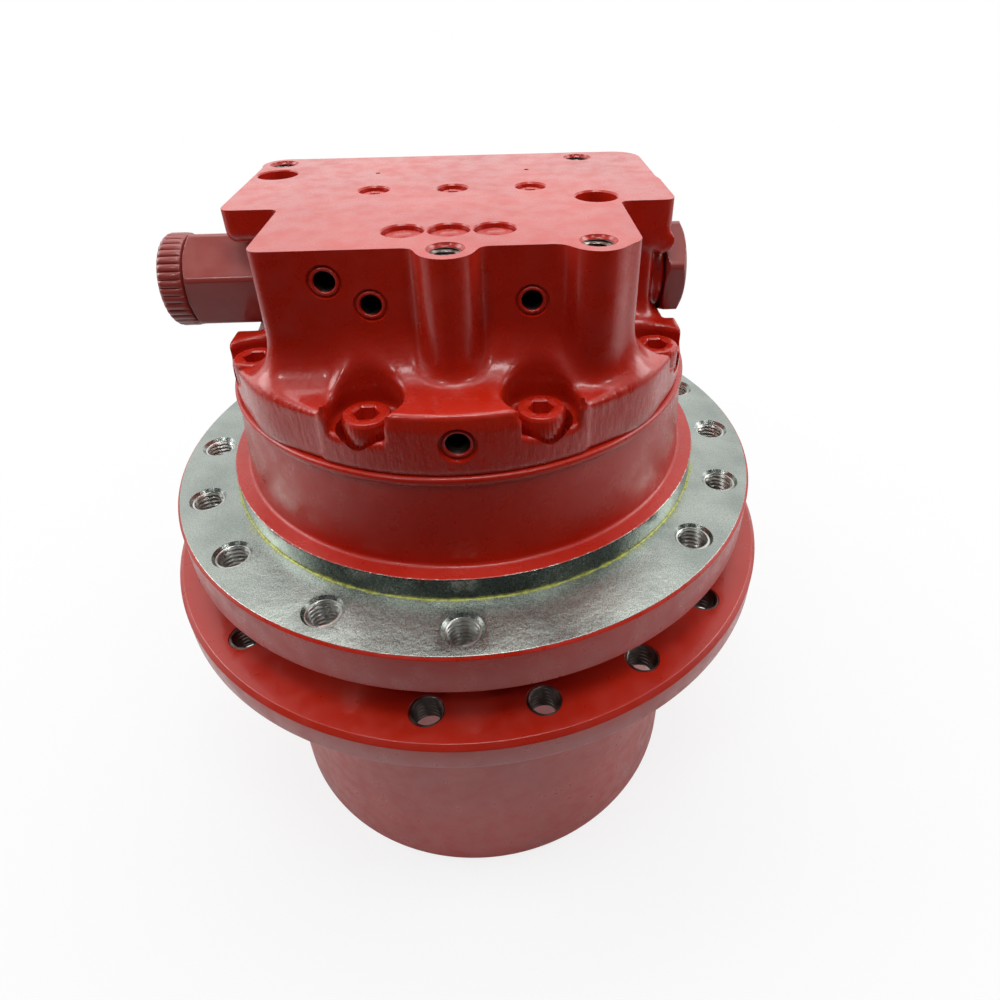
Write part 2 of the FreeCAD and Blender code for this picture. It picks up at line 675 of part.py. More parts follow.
def motor_casing():
    """The cast casing: bolted flange, valve block and manifold plate in one piece."""
    flange = turned([
        (0, CYLINDER_TOP_Z), (CASING_FLANGE_R - BEAD_OUT, CYLINDER_TOP_Z),
        (CASING_FLANGE_R, CYLINDER_TOP_Z + BEAD_OUT),
        (CASING_FLANGE_R, CASING_FLANGE_TOP_Z - BEAD_OUT),
        (CASING_FLANGE_R - BEAD_OUT, CASING_FLANGE_TOP_Z), (0, CASING_FLANGE_TOP_Z),
    ])
    front = casing_front_outline(CASING_FLANGE_TOP_Z)
    block = prism(front, MANIFOLD_Z - CASING_FLANGE_TOP_Z)
    ears = prism(casing_ear_outline(EAR_BOTTOM_Z), EAR_T)
    column = rod(COLUMN_R, CASING_FLANGE_TOP_Z, MANIFOLD_Z, Vector(COLUMN_X, COLUMN_Y, 0))
    pillar = rod(PILLAR_R, CASING_FLANGE_TOP_Z, MANIFOLD_Z, Vector(PILLAR_X, PILLAR_Y, 0))
    boss = cross_rod(VALVE_BOSS_R, LEFT_BOSS_X, 0)
    seat = cross_rod(VALVE_SEAT_R, 0, RIGHT_BOSS_X)
    foot = skirt(front, SKIRT_REACH, SKIRT_H, CASING_FLANGE_TOP_Z)
    foot = foot.common(rod(CASING_FLANGE_R - BEAD_OUT, CASING_FLANGE_TOP_Z, MANIFOLD_Z))
    solid = flange.fuse([block, ears, right_ear(), right_buttress(), column, pillar, boss, seat,
                         foot, drain_land()] + rear_thread_bosses())
    spigot = tube(BRAKE_BORE_R, BRAKE_BORE_R - SPIGOT_WALL, CYLINDER_TOP_Z - SPIGOT_H,
                  CYLINDER_TOP_Z)
    solid = solid.fuse(spigot)
    bore = cross_rod(SPOOL_R + RUNNING_GAP, LEFT_BOSS_X, RIGHT_BOSS_X)
    bore = bore.fuse(cross_rod(PLUG_THREAD_R, LEFT_BOSS_X, LEFT_BOSS_X + PLUG_THREAD_L))
    bore = bore.fuse(cross_rod(PLUG_THREAD_R, RIGHT_BOSS_X - PLUG_THREAD_L, RIGHT_BOSS_X))
    bearing_seat = rod(UPPER_BEARING_R, CYLINDER_TOP_Z, UPPER_BEARING_Z + UPPER_BEARING_T)
    cuts = [bore, bearing_seat] + plug_rooms() + screw_cuts() + manifold_cuts() + casing_ports()
    return solid.cut(cuts).removeSplitter()


def casing_screws():
    """Socket head screws that clamp the casing to the housing."""
    head = rod(SCREW_HEAD_R, SCREW_SEAT_Z, SCREW_SEAT_Z + SCREW_HEAD_H)
    socket = hexagon(SCREW_SOCKET_AF, SCREW_SOCKET_DEPTH)
    socket.translate(Vector(0, 0, SCREW_SEAT_Z + SCREW_HEAD_H - SCREW_SOCKET_DEPTH))
    shank = rod(SCREW_R, SCREW_SEAT_Z - SCREW_LENGTH, SCREW_SEAT_Z)
    screw = head.cut(socket).fuse(shank).translated(Vector(SCREW_CIRCLE_R, 0, 0))
    return Part.makeCompound(ring_of(screw, SCREW_ANGLES))


def socket_plug(radius, across_flats, z_low, z_high, at):
    """A plug with a hexagon socket in its top."""
    depth = (z_high - z_low) / 2
    socket = hexagon(across_flats, depth).translated(Vector(at.x, at.y, z_high - depth))
    return rod(radius, z_low, z_high, at).cut(socket)


def top_socket_plugs():
    """Three screwed plugs of drilled passages in the manifold face."""
    top = MANIFOLD_Z - SOCKET_PLUG_SINK
    plugs = []
    for x, y in SOCKET_PLUG_XY:
        place = Vector(x, y, 0)
        plugs.append(socket_plug(SOCKET_PLUG_R, SOCKET_PLUG_AF, top - SOCKET_PLUG_T, top, place))
    return Part.makeCompound(plugs)


def top_disc_plugs():
    """Three pressed disc plugs with a dished middle in the manifold face."""
    top = MANIFOLD_Z - DISC_PLUG_SINK
    plugs = []
    for x, y in DISC_PLUG_XY:
        place = Vector(x, y, 0)
        disc = rod(DISC_PLUG_R, top - DISC_PLUG_T, top, place)
        plugs.append(disc.cut(rod(DISC_PLUG_R - DISC_PLUG_DISH, top - DISC_PLUG_DISH, top, place)))
    return Part.makeCompound(plugs)


def hexagon_along_x(length, x_start, way):
    """The hexagon of a valve plug with its outer corners turned off."""
    corner_r = PLUG_CORNER_R
    prism_x = hexagon(PLUG_AF, length, PLUG_TURN)
    turned_blank = rod(corner_r, 0, length - PLUG_CHAMFER)
    turned_blank = turned_blank.fuse(cone(corner_r, corner_r - PLUG_CHAMFER,
                                          length - PLUG_CHAMFER, length))
    solid = prism_x.common(turned_blank)
    solid.rotate(Vector(0, 0, 0), Vector(0, 1, 0), 90 * way)
    return solid.translated(Vector(x_start, SPOOL_AXIS_Y, SPOOL_AXIS_Z))


def left_valve_plug():
    """The long hexagon plug: thread in the casing, spring bore, seat for the cap's stud."""
    outer_x = LEFT_BOSS_X - LEFT_PLUG_L
    body = hexagon_along_x(LEFT_PLUG_L, LEFT_BOSS_X, -1)
    body = body.fuse(cross_rod(PLUG_THREAD_R, LEFT_BOSS_X, LEFT_BOSS_X + PLUG_THREAD_L))
    spring_bore = cross_rod(PLUG_BORE_R, outer_x + PLUG_END_WALL, LEFT_BOSS_X + PLUG_THREAD_L)
    stud_hole = cross_rod(CAP_STUD_R, outer_x, outer_x + CAP_STUD_L)
    return body.cut([spring_bore, stud_hole])


def left_plug_cap():
    """The fluted cap on the long plug's end."""
    outer_x = LEFT_BOSS_X - LEFT_PLUG_L
    cap = cross_rod(CAP_R, outer_x - CAP_L, outer_x)
    stud = cross_rod(CAP_STUD_R, outer_x, outer_x + CAP_STUD_L)
    flutes = []
    for angle in even_angles(CAP_FLUTES):
        turn = math.radians(angle)
        start = Vector(outer_x - CAP_L, SPOOL_AXIS_Y + CAP_R * math.cos(turn),
                       SPOOL_AXIS_Z + CAP_R * math.sin(turn))
        flutes.append(Part.makeCylinder(CAP_FLUTE_R, CAP_L, start, Vector(1, 0, 0)))
    return cap.cut(flutes).fuse(stud)


def right_valve_plug():
    """The short hexagon plug on the other end of the spool's bore."""
    body = hexagon_along_x(RIGHT_PLUG_L, RIGHT_BOSS_X, 1)
    body = body.fuse(cross_rod(PLUG_THREAD_R, RIGHT_BOSS_X - PLUG_THREAD_L, RIGHT_BOSS_X))
    return body.cut(cross_rod(PLUG_BORE_R, RIGHT_BOSS_X - PLUG_THREAD_L, RIGHT_BOSS_X))


def counterbalance_spool():
    """The valve spool with its lands and grooves."""
    solid = cross_rod(SPOOL_R, -SPOOL_HALF, SPOOL_HALF)
    inner = SPOOL_HALF - SPOOL_LAND
    grooves = []
    for low, high in ((-inner, -SPOOL_LAND / 2), (SPOOL_LAND / 2, inner)):
        groove = cross_rod(SPOOL_R, low, high).cut(cross_rod(SPOOL_GROOVE_R, low, high))
        grooves.append(groove)
    return solid.cut(grooves)


def spool_spring(x_low, x_high):
    """One centring spring as a plain tube of its outer size."""
    radius = PLUG_BORE_R - 2 * RUNNING_GAP
    return cross_rod(radius, x_low, x_high).cut(cross_rod(radius - SPRING_WIRE, x_low, x_high))


def valve_plate():
    """The fixed timing plate with two kidney ports."""
    plate = tube(VALVE_PLATE_R, SHAFT_TOP_R + 2.0, VALVE_PLATE_Z, CYLINDER_TOP_Z)
    kidneys = []
    for middle in (0.0, 180.0):
        inner = KIDNEY_R - KIDNEY_HALF
        outer = KIDNEY_R + KIDNEY_HALF
        points = [Vector(inner, 0, VALVE_PLATE_Z), Vector(outer, 0, VALVE_PLATE_Z),
                  Vector(outer, 0, CYLINDER_TOP_Z), Vector(inner, 0, CYLINDER_TOP_Z)]
        face = Part.Face(Part.makePolygon(points + points[:1]))
        kidney = face.revolve(Vector(0, 0, 0), TOP, KIDNEY_SWEEP)
        kidney.rotate(Vector(0, 0, 0), TOP, middle - KIDNEY_SWEEP / 2)
        kidneys.append(kidney)
    return plate.cut(kidneys)


def swash_tilt():
    """The rotation from the drive's axis to the swash plate's normal."""
    return Rotation(Vector(1, 0, 0), SWASH_ANGLE)


def ball_places():
    """Centres of the pistons' ball ends over the tilted swash face."""
    normal = swash_tilt().multVec(TOP)
    centre = Vector(0, 0, SWASH_CENTRE_Z) + normal * SLIPPER_H
    places = []
    for angle in even_angles(PISTONS, 90.0):
        flat = polar(PISTON_CIRCLE_R, angle)
        rise = centre.z - (normal.x * flat.x + normal.y * (flat.y - centre.y)) / normal.z
        places.append(Vector(flat.x, flat.y, rise))
    return places


def cylinder_block():
    """The barrel with its piston bores."""
    top = VALVE_PLATE_Z
    block = tube(BLOCK_R, SHAFT_BLOCK_R + RUNNING_GAP, BLOCK_BOTTOM_Z, top)
    bores = [rod(PISTON_R + RUNNING_GAP, BLOCK_BOTTOM_Z, top, place) for place in ball_places()]
    return block.cut(bores)


def motor_pistons():
    """Pistons with ball ends, each at its own stroke over the swash plate."""
    piston = turned([
        (0, -BALL_R), (PISTON_NECK_R, -math.sqrt(BALL_R ** 2 - PISTON_NECK_R ** 2)),
        (PISTON_NECK_R, PISTON_NECK_L), (PISTON_R, PISTON_NECK_L + 2.0), (PISTON_R, PISTON_L),
        (0, PISTON_L),
    ])
    return Part.makeCompound([piston.translated(place) for place in ball_places()])


def slippers():
    """Slippers between the ball ends and the swash plate."""
    collar_bottom = SLIPPER_FLANGE_T - SLIPPER_H
    cup_r = BALL_R + 4 * RUNNING_GAP
    shoe = turned([
        (0, -SLIPPER_H), (SLIPPER_R, -SLIPPER_H), (SLIPPER_R, collar_bottom),
        (SLIPPER_COLLAR_R, collar_bottom), (SLIPPER_COLLAR_R, SLIPPER_COLLAR_TOP),
        (cup_r, SLIPPER_COLLAR_TOP), (cup_r, -cup_r), (0, -cup_r),
    ])
    shoe.rotate(Vector(0, 0, 0), Vector(1, 0, 0), SWASH_ANGLE)
    return Part.makeCompound([shoe.translated(place) for place in ball_places()])


def slipper_retainer():
    """The plate that holds the slippers down on the swash face."""
    low = SLIPPER_FLANGE_T + RUNNING_GAP
    plate = tube(RETAINER_R, RETAINER_BORE_R, low, low + RETAINER_T)
    plate.rotate(Vector(0, 0, 0), Vector(1, 0, 0), SWASH_ANGLE)
    plate.translate(Vector(0, 0, SWASH_CENTRE_Z))
    normal = swash_tilt().multVec(TOP)
    holes = []
    for place in ball_places():
        start = place - normal * SLIPPER_H
        holes.append(Part.makeCylinder(SLIPPER_COLLAR_R + RUNNING_GAP, 2 * SLIPPER_H, start, normal))
    return plate.cut(holes)


def swash_plate():
    """The fixed wedge that drives the pistons' stroke."""
    wedge = tube(SWASH_R, SWASH_BORE_R, MOTOR_FLOOR_Z, BLOCK_BOTTOM_Z)
    above = Part.makeBox(4 * SWASH_R, 4 * SWASH_R, 4 * SWASH_R,
                         Vector(-2 * SWASH_R, -2 * SWASH_R, 0))
    above.rotate(Vector(0, 0, 0), Vector(1, 0, 0), SWASH_ANGLE)
    above.translate(Vector(0, 0, SWASH_CENTRE_Z))
    return wedge.cut(above)


def motor_shaft():
    """The shaft from the upper bearing through the spindle down to the first sun gear."""
    seal_top = LOWER_BEARING_Z
    return turned([
        (0, SHAFT_END_Z), (SHAFT_SPLINE_R, SHAFT_END_Z), (SHAFT_SPLINE_R, STAGE_1_TOP_Z + END_GAP),
        (SHAFT_QUILL_R, STAGE_1_TOP_Z + END_GAP), (SHAFT_QUILL_R, SPINDLE_END_Z + COVER_T),
        (SHAFT_SEAL_SEAT_R, SPINDLE_END_Z + COVER_T), (SHAFT_SEAL_SEAT_R, seal_top),
        (SHAFT_LOWER_R, seal_top), (SHAFT_LOWER_R, MOTOR_FLOOR_Z),
        (SHAFT_BLOCK_R, MOTOR_FLOOR_Z), (SHAFT_BLOCK_R, VALVE_PLATE_Z),
        (SHAFT_TOP_R, VALVE_PLATE_Z), (SHAFT_TOP_R, UPPER_BEARING_Z + UPPER_BEARING_T - END_GAP),
        (0, UPPER_BEARING_Z + UPPER_BEARING_T - END_GAP),
    ])


def rollers(inner_r, outer_r, z_low, z_high, count):
    """Cylindrical rollers between two races, with running clearance at both."""
    radius = (outer_r - inner_r) / 2 - RUNNING_GAP
    roller = rod(radius, z_low + END_GAP, z_high - END_GAP, Vector((inner_r + outer_r) / 2, 0, 0))
    return Part.makeCompound(ring_of(roller, even_angles(count)))


def shaft_seal():
    """The shaft seal in the spindle's floor."""
    return tube(SHAFT_SEAL_R, SHAFT_SEAL_SEAT_R + RUNNING_GAP, SEAL_SEAT_Z - SEAL_T, SEAL_SEAT_Z)


def brake_disc_set(r_out, r_in, first):
    """Every second disc of the brake's stack, starting with the first or the second place."""
    discs = []
    for index in range(STEEL_DISCS):
        z_low = BRAKE_FLOOR_Z + (2 * index + first) * BRAKE_DISC_T
        discs.append(tube(r_out, r_in, z_low, z_low + BRAKE_DISC_T))
    return Part.makeCompound(discs)


def brake_piston():
    """The spring-loaded ring piston that clamps the brake discs."""
    low = BRAKE_STACK_TOP_Z + RUNNING_GAP
    ring = tube(BRAKE_BORE_R - RUNNING_GAP, BRAKE_RING_BORE_R, low, BRAKE_PISTON_TOP_Z)
    pocket = rod(BRAKE_SPRING_R + 2 * RUNNING_GAP, BRAKE_PISTON_TOP_Z - BRAKE_SPRING_POCKET,
                 BRAKE_PISTON_TOP_Z, Vector(BRAKE_SPRING_CIRCLE_R, 0, 0))
    return ring.cut(ring_of(pocket, even_angles(BRAKE_SPRINGS)))


def brake_springs():
    """Springs between the brake piston and the casing, as plain tubes of their outer size."""
    low = BRAKE_PISTON_TOP_Z - BRAKE_SPRING_POCKET + RUNNING_GAP
    spring = tube(BRAKE_SPRING_R, BRAKE_SPRING_R - SPRING_WIRE, low, CYLINDER_TOP_Z,
                  Vector(BRAKE_SPRING_CIRCLE_R, 0, 0))
    return Part.makeCompound(ring_of(spring, even_angles(BRAKE_SPRINGS)))


def hub_seal_collar():
    """The turning collar round the face seal, seated on the sprocket flange."""
    return turned([
        (SEAL_BORE_R, COLLAR_TOP_Z), (COLLAR_R, COLLAR_TOP_Z), (COLLAR_R, SPROCKET_TOP_Z),
        (HUB_PASSAGE_R, SPROCKET_TOP_Z), (HUB_PASSAGE_R, HUB_SEAL_FLOOR_Z),
        (SEAL_BORE_R, HUB_SEAL_FLOOR_Z),
    ])


def sprocket_flange():
    """The flange that carries the sprocket, with its tapped holes and the bearing's shoulder."""
    flange = turned([
        (HUB_PASSAGE_R, SPROCKET_TOP_Z), (SPROCKET_FLANGE_R - SPROCKET_CHAMFER, SPROCKET_TOP_Z),
        (SPROCKET_FLANGE_R, SPROCKET_TOP_Z - SPROCKET_CHAMFER),
        (SPROCKET_FLANGE_R, SPROCKET_BOTTOM_Z), (DRUM_R, SPROCKET_BOTTOM_Z),
        (DRUM_R - DRUM_LEAD, SPROCKET_BOTTOM_Z + DRUM_LEAD), (DRUM_R - DRUM_LEAD, DRUM_TOP_Z),
        (MAIN_BEARING_OUT_R, DRUM_TOP_Z), (MAIN_BEARING_OUT_R, JOURNAL_SHOULDER_Z),
        (HUB_PASSAGE_R, JOURNAL_SHOULDER_Z),
    ])
    hole = rod(FLANGE_THREAD_R, SPROCKET_BOTTOM_Z, SPROCKET_TOP_Z, Vector(SPROCKET_BOLT_R, 0, 0))
    return flange.cut(ring_of(hole, sprocket_angles()))


def hub_housing():
    """The turning gear drum: bearing seats, seat of the ring gear and groove of the cover's ring."""
    groove_r = COVER_R + COVER_RING_OUT
    groove_low = COVER_BOTTOM_Z - COVER_RING_T
    rib_low = UPPER_MAIN_Z - MAIN_BEARING_RIB
    return turned([
        (MAIN_BEARING_OUT_R, DRUM_TOP_Z), (DRUM_R - DRUM_LEAD, DRUM_TOP_Z),
        (DRUM_R - DRUM_LEAD, SPROCKET_BOTTOM_Z + DRUM_LEAD), (DRUM_R, SPROCKET_BOTTOM_Z),
        (DRUM_R, DRUM_END_Z + DRUM_EDGE), (DRUM_R - DRUM_EDGE, DRUM_END_Z),
        (COVER_R, DRUM_END_Z), (COVER_R, groove_low), (groove_r, groove_low),
        (groove_r, COVER_BOTTOM_Z), (COVER_R, COVER_BOTTOM_Z), (COVER_R, COVER_TOP_Z),
        (RING_GEAR_R, COVER_TOP_Z), (RING_GEAR_R, LOWER_MAIN_Z),
        (MAIN_BEARING_OUT_R, LOWER_MAIN_Z), (MAIN_BEARING_OUT_R, rib_low), (HUB_RIB_R, rib_low),
        (HUB_RIB_R, UPPER_MAIN_Z), (MAIN_BEARING_OUT_R, UPPER_MAIN_Z),
    ])


def seal_ring(z_low):
    """One lapped iron ring of the floating seal."""
    return tube(SEAL_RING_R, SEAL_RING_BORE_R, z_low, z_low + SEAL_RING_H)


def toric_ring(z_middle):
    """The rubber ring that carries a seal ring in its bore, pressed to a lozenge section."""
    middle_r = (SEAL_BORE_R + SEAL_RING_R) / 2
    half = (SEAL_BORE_R - SEAL_RING_R) / 2
    return turned([(middle_r - half, z_middle), (middle_r, z_middle - half),
                   (middle_r + half, z_middle), (middle_r, z_middle + half)])


def bearing_nut():
    """The slotted nut that preloads the main bearings on the spindle."""
    nut = tube(NUT_R, THREAD_R, NUT_Z, LOWER_MAIN_Z)
    slot = Part.makeBox(NUT_SLOT_D, NUT_SLOT_W, NUT_T,
                        Vector(NUT_R - NUT_SLOT_D, -NUT_SLOT_W / 2, NUT_Z))
    return nut.cut(ring_of(slot, even_angles(NUT_SLOTS, 45.0)))


def ring_gear():
    """The internal gear that both stages drive."""
    pitch_r = MODULE * RING_TEETH / 2
    tip_r = pitch_r - RING_ADDENDUM * MODULE
    root_r = pitch_r + DEDENDUM * MODULE
    blank = rod(RING_GEAR_R, RING_GEAR_BOTTOM_Z, RING_GEAR_TOP_Z)
    wire = gear_wire(RING_TEETH, tip_r, root_r, 0.0, internal=True)
    space = prism(wire, RING_GEAR_TOP_Z - RING_GEAR_BOTTOM_Z)
    return blank.cut(space.translated(Vector(0, 0, RING_GEAR_BOTTOM_Z)))


def planet(teeth, centre, place_angle, z_low, width, bore_r):
    """One planet gear in mesh with the ring gear at its place."""
    gear = spur_gear(teeth, z_low, width, planet_phase(teeth, place_angle))
    gear = gear.cut(rod(bore_r, z_low, z_low + width))
    return gear.translated(polar(centre, place_angle))


def planet_bush(pin_r, wall, centre, place_angle, z_low, width):
    """The bronze bush pressed into a planet."""
    place = polar(centre, place_angle)
    return tube(pin_r + wall, pin_r + RUNNING_GAP, z_low, z_low + width, place)


def planet_pins(radius, centre, z_low, z_high):
    """The three planet pins of one stage."""
    pin = rod(radius, z_low, z_high, Vector(centre, 0, 0))
    return Part.makeCompound(ring_of(pin, even_angles(PLANETS)))


def stage_2_pin_plate():
    """The plate that ties the free ends of the second stage's pins."""
    plate = tube(PIN_PLATE_R, PIN_PLATE_BORE_R, PIN_PLATE_Z, PIN_PLATE_TOP_Z)
    hole = rod(PIN_2_R, PIN_PLATE_Z, PIN_PLATE_TOP_Z, Vector(CENTRE_2, 0, 0))
    return plate.cut(ring_of(hole, even_angles(PLANETS)))


def stage_2_sun():
    """The second sun gear with the shank that the first carrier drives."""
    low = STAGE_2_TOP_Z - STAGE_2_WIDTH
    gear = spur_gear(SUN_2_TEETH, low, STAGE_2_WIDTH, sun_phase(SUN_2_TEETH, PLANET_2_TEETH, 0.0))
    gear = gear.fuse(rod(SUN_2_SHANK_R, CARRIER_Z, low))
    return gear.cut(rod(SUN_2_BORE_R, CARRIER_Z, STAGE_2_TOP_Z))


def stage_1_carrier():
    """The first carrier plate."""
    plate = tube(CARRIER_R, SUN_2_SHANK_R, CARRIER_Z, CARRIER_Z + CARRIER_T)
    hole = rod(PIN_1_R, CARRIER_Z, CARRIER_Z + CARRIER_T, Vector(CENTRE_1, 0, 0))
    return plate.cut(ring_of(hole, even_angles(PLANETS)))


def stage_1_sun():
    """The first sun gear on the shaft's spline."""
    phase = sun_phase(SUN_1_TEETH, PLANET_1_TEETH, 0.0)
    gear = spur_gear(SUN_1_TEETH, STAGE_1_BOTTOM_Z, STAGE_1_WIDTH, phase)
    return gear.cut(rod(SHAFT_SPLINE_R, STAGE_1_BOTTOM_Z, STAGE_1_TOP_Z))


def end_cover():
    """The round cover that closes the gear case."""
    seal_middle = (COVER_TOP_Z + COVER_BOTTOM_Z) / 2
    seal_low = seal_middle - COVER_SEAL_W / 2
    seal_high = seal_middle + COVER_SEAL_W / 2
    cover = turned([
        (0, COVER_BOTTOM_Z + COVER_RECESS_D), (COVER_RECESS_R, COVER_BOTTOM_Z + COVER_RECESS_D),
        (COVER_RECESS_R + COVER_RECESS_D, COVER_BOTTOM_Z), (COVER_R, COVER_BOTTOM_Z),
        (COVER_R, seal_low), (COVER_R - COVER_SEAL_D, seal_low),
        (COVER_R - COVER_SEAL_D, seal_high), (COVER_R, seal_high), (COVER_R, COVER_TOP_Z),
        (0, COVER_TOP_Z),
    ])
    hole = rod(COVER_PLUG_R, COVER_BOTTOM_Z, COVER_TOP_Z, Vector(COVER_PLUG_CIRCLE_R, 0, 0))
    return cover.cut(ring_of(hole, (0.0, 180.0)))


def cover_plugs():
    """Oil fill and drain plugs of the end cover, their sockets facing outwards."""
    low = COVER_BOTTOM_Z + COVER_RECESS_D
    depth = (COVER_TOP_Z - low) / 2
    socket = hexagon(COVER_PLUG_AF, depth).translated(Vector(0, 0, low))
    plug = rod(COVER_PLUG_R, low, COVER_TOP_Z).cut(socket)
    plug.translate(Vector(COVER_PLUG_CIRCLE_R, 0, 0))
    return Part.makeCompound(ring_of(plug, (0.0, 180.0)))


def cover_seal():
    """The end cover's sealing ring in its groove."""
    middle = (COVER_TOP_Z + COVER_BOTTOM_Z) / 2
    half = COVER_SEAL_W / 2
    return tube(COVER_R, COVER_R - COVER_SEAL_D, middle - half, middle + half)


def cover_retaining_ring():
    """The open snap ring in the drum's groove under the cover."""
    ring = tube(COVER_R + COVER_RING_OUT, COVER_R - COVER_RING_IN, COVER_BOTTOM_Z - COVER_RING_T,
                COVER_BOTTOM_Z)
    opening = Part.makeBox(4 * COVER_RING_IN, COVER_RING_OPENING, COVER_RING_T,
                           Vector(COVER_R - 3 * COVER_RING_IN, -COVER_RING_OPENING / 2,
                                  COVER_BOTTOM_Z - COVER_RING_T))
    return ring.cut(opening)


def frame_side():
    """Nodes that stand still with the machine's frame."""
    outer_x = LEFT_BOSS_X - LEFT_PLUG_L
    save("spindle_housing", spindle_housing())
    save("motor_casing", motor_casing())
    save("casing_screws", casing_screws())
    save("left_valve_plug", left_valve_plug())
    save("left_plug_cap", left_plug_cap())
    save("right_valve_plug", right_valve_plug())
    save("top_socket_plugs", top_socket_plugs())
    save("top_disc_plugs", top_disc_plugs())
    save("counterbalance_spool", counterbalance_spool())
    save("left_spool_spring", spool_spring(outer_x + PLUG_END_WALL, -SPOOL_HALF))
    save("right_spool_spring", spool_spring(SPOOL_HALF, RIGHT_BOSS_X))
    save("bearing_nut", bearing_nut())
    save("stage_2_planet_pins", planet_pins(PIN_2_R, CENTRE_2, PIN_PLATE_Z,
                                            SPINDLE_END_Z + PIN_2_PRESS))
    save("stage_2_pin_plate", stage_2_pin_plate())


def motor():
    """Nodes of the hydraulic motor and its brake."""
    save("valve_plate", valve_plate())
    save("cylinder_block", cylinder_block())
    save("motor_pistons", motor_pistons())
    save("slippers", slippers())
    save("slipper_retainer", slipper_retainer())
    save("swash_plate", swash_plate())
    save("motor_shaft", motor_shaft())
    save("shaft_seal", shaft_seal())
    save("brake_steel_discs", brake_disc_set(BRAKE_BORE_R, BRAKE_RING_BORE_R, 0))
    save("brake_friction_discs", brake_disc_set(FRICTION_DISC_R, BLOCK_R, 1))
    save("brake_piston", brake_piston())
    save("brake_springs", brake_springs())
    upper_top = UPPER_BEARING_Z + UPPER_BEARING_T
    upper_race = UPPER_BEARING_R - BEARING_RING_WALL
    save("upper_shaft_bearing_ring", tube(UPPER_BEARING_R, upper_race, UPPER_BEARING_Z, upper_top))
    save("upper_shaft_bearing_rollers", rollers(SHAFT_TOP_R, upper_race, UPPER_BEARING_Z,
                                                upper_top, SHAFT_ROLLERS))
    lower_top = LOWER_BEARING_Z + LOWER_BEARING_T
    lower_race = LOWER_BEARING_R - BEARING_RING_WALL
    save("lower_shaft_bearing_ring", tube(LOWER_BEARING_R, lower_race, LOWER_BEARING_Z, lower_top))
    save("lower_shaft_bearing_rollers", rollers(SHAFT_LOWER_R, lower_race, LOWER_BEARING_Z,
                                                lower_top, SHAFT_ROLLERS))


def hub_side():
    """Nodes that turn with the sprocket, and the seal and bearings they run in."""
    save("hub_housing", hub_housing())
    save("sprocket_flange", sprocket_flange())
    save("hub_seal_collar", hub_seal_collar())
    save("ring_gear", ring_gear())
    save("end_cover", end_cover())
    save("cover_plugs", cover_plugs())
    save("cover_seal", cover_seal())
    save("cover_retaining_ring", cover_retaining_ring())
    save("cover_thrust_button", rod(BUTTON_R, COVER_TOP_Z, SHAFT_END_Z - BUTTON_GAP))
    save("fixed_seal_ring", seal_ring(SEAL_FACE_Z))
    save("fixed_toric_ring", toric_ring(SEAL_FACE_Z + SEAL_RING_H / 2))
    save("hub_seal_ring", seal_ring(HUB_SEAL_FLOOR_Z))
    save("hub_toric_ring", toric_ring(HUB_SEAL_FLOOR_Z + SEAL_RING_H / 2))
    inner_race = JOURNAL_R + MAIN_BEARING_RACE
    outer_race = MAIN_BEARING_OUT_R - MAIN_BEARING_RACE
    spans = [(low, low + MAIN_BEARING_T) for low in (UPPER_MAIN_Z, LOWER_MAIN_Z)]
    inner_rings = [tube(inner_race, JOURNAL_R, *span) for span in spans]
    outer_rings = [tube(MAIN_BEARING_OUT_R, outer_race, *span) for span in spans]
    save("main_inner_rings", Part.makeCompound(inner_rings))
    save("main_outer_rings", Part.makeCompound(outer_rings))
    for name, span in zip(("upper", "lower"), spans):
        save(name + "_main_rollers", rollers(inner_race, outer_race, *span, MAIN_ROLLERS))


def gear_stages():
    """Nodes of the two planetary stages."""
    save("stage_2_sun", stage_2_sun())
    save("stage_1_sun", stage_1_sun())
    save("stage_1_carrier", stage_1_carrier())
    save("stage_1_planet_pins", planet_pins(PIN_1_R, CENTRE_1, STAGE_1_BOTTOM_Z - END_GAP,
                                            CARRIER_Z + CARRIER_T))
    stages = (
        ("stage_2", PLANET_2_TEETH, CENTRE_2, STAGE_2_TOP_Z - STAGE_2_WIDTH, STAGE_2_WIDTH,
         PIN_2_R, BUSH_WALL),
        ("stage_1", PLANET_1_TEETH, CENTRE_1, STAGE_1_BOTTOM_Z, STAGE_1_WIDTH, PIN_1_R, 0.0),
    )
    for stage, teeth, centre, low, width, pin_r, bush_wall in stages:
        for index, angle in enumerate(even_angles(PLANETS), start=1):
            bore_r = pin_r + (bush_wall or RUNNING_GAP)
            gear = planet(teeth, centre, angle, low, width, bore_r)
            save("%s_planet_%d" % (stage, index), gear)
            if bush_wall > 0:
                bush = planet_bush(pin_r, bush_wall, centre, angle, low, width)
                save("%s_bush_%d" % (stage, index), bush)


def main():
    """Write every node."""
    os.makedirs("parts", exist_ok=True)
    frame_side()
    motor()
    hub_side()
    gear_stages()


main()
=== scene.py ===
"""The look of an excavator's final drive: red cast casing, bare steel frame flange, red hub and drum.

Sizes are in millimetres along the drive's own axes and become metres where a mesh is made.
"""

import json
import logging
import math
from dataclasses import dataclass
from enum import Enum
from typing import Dict, List, Sequence, Tuple

import bmesh
import bpy
import numpy as np
from mathutils import Matrix, Vector


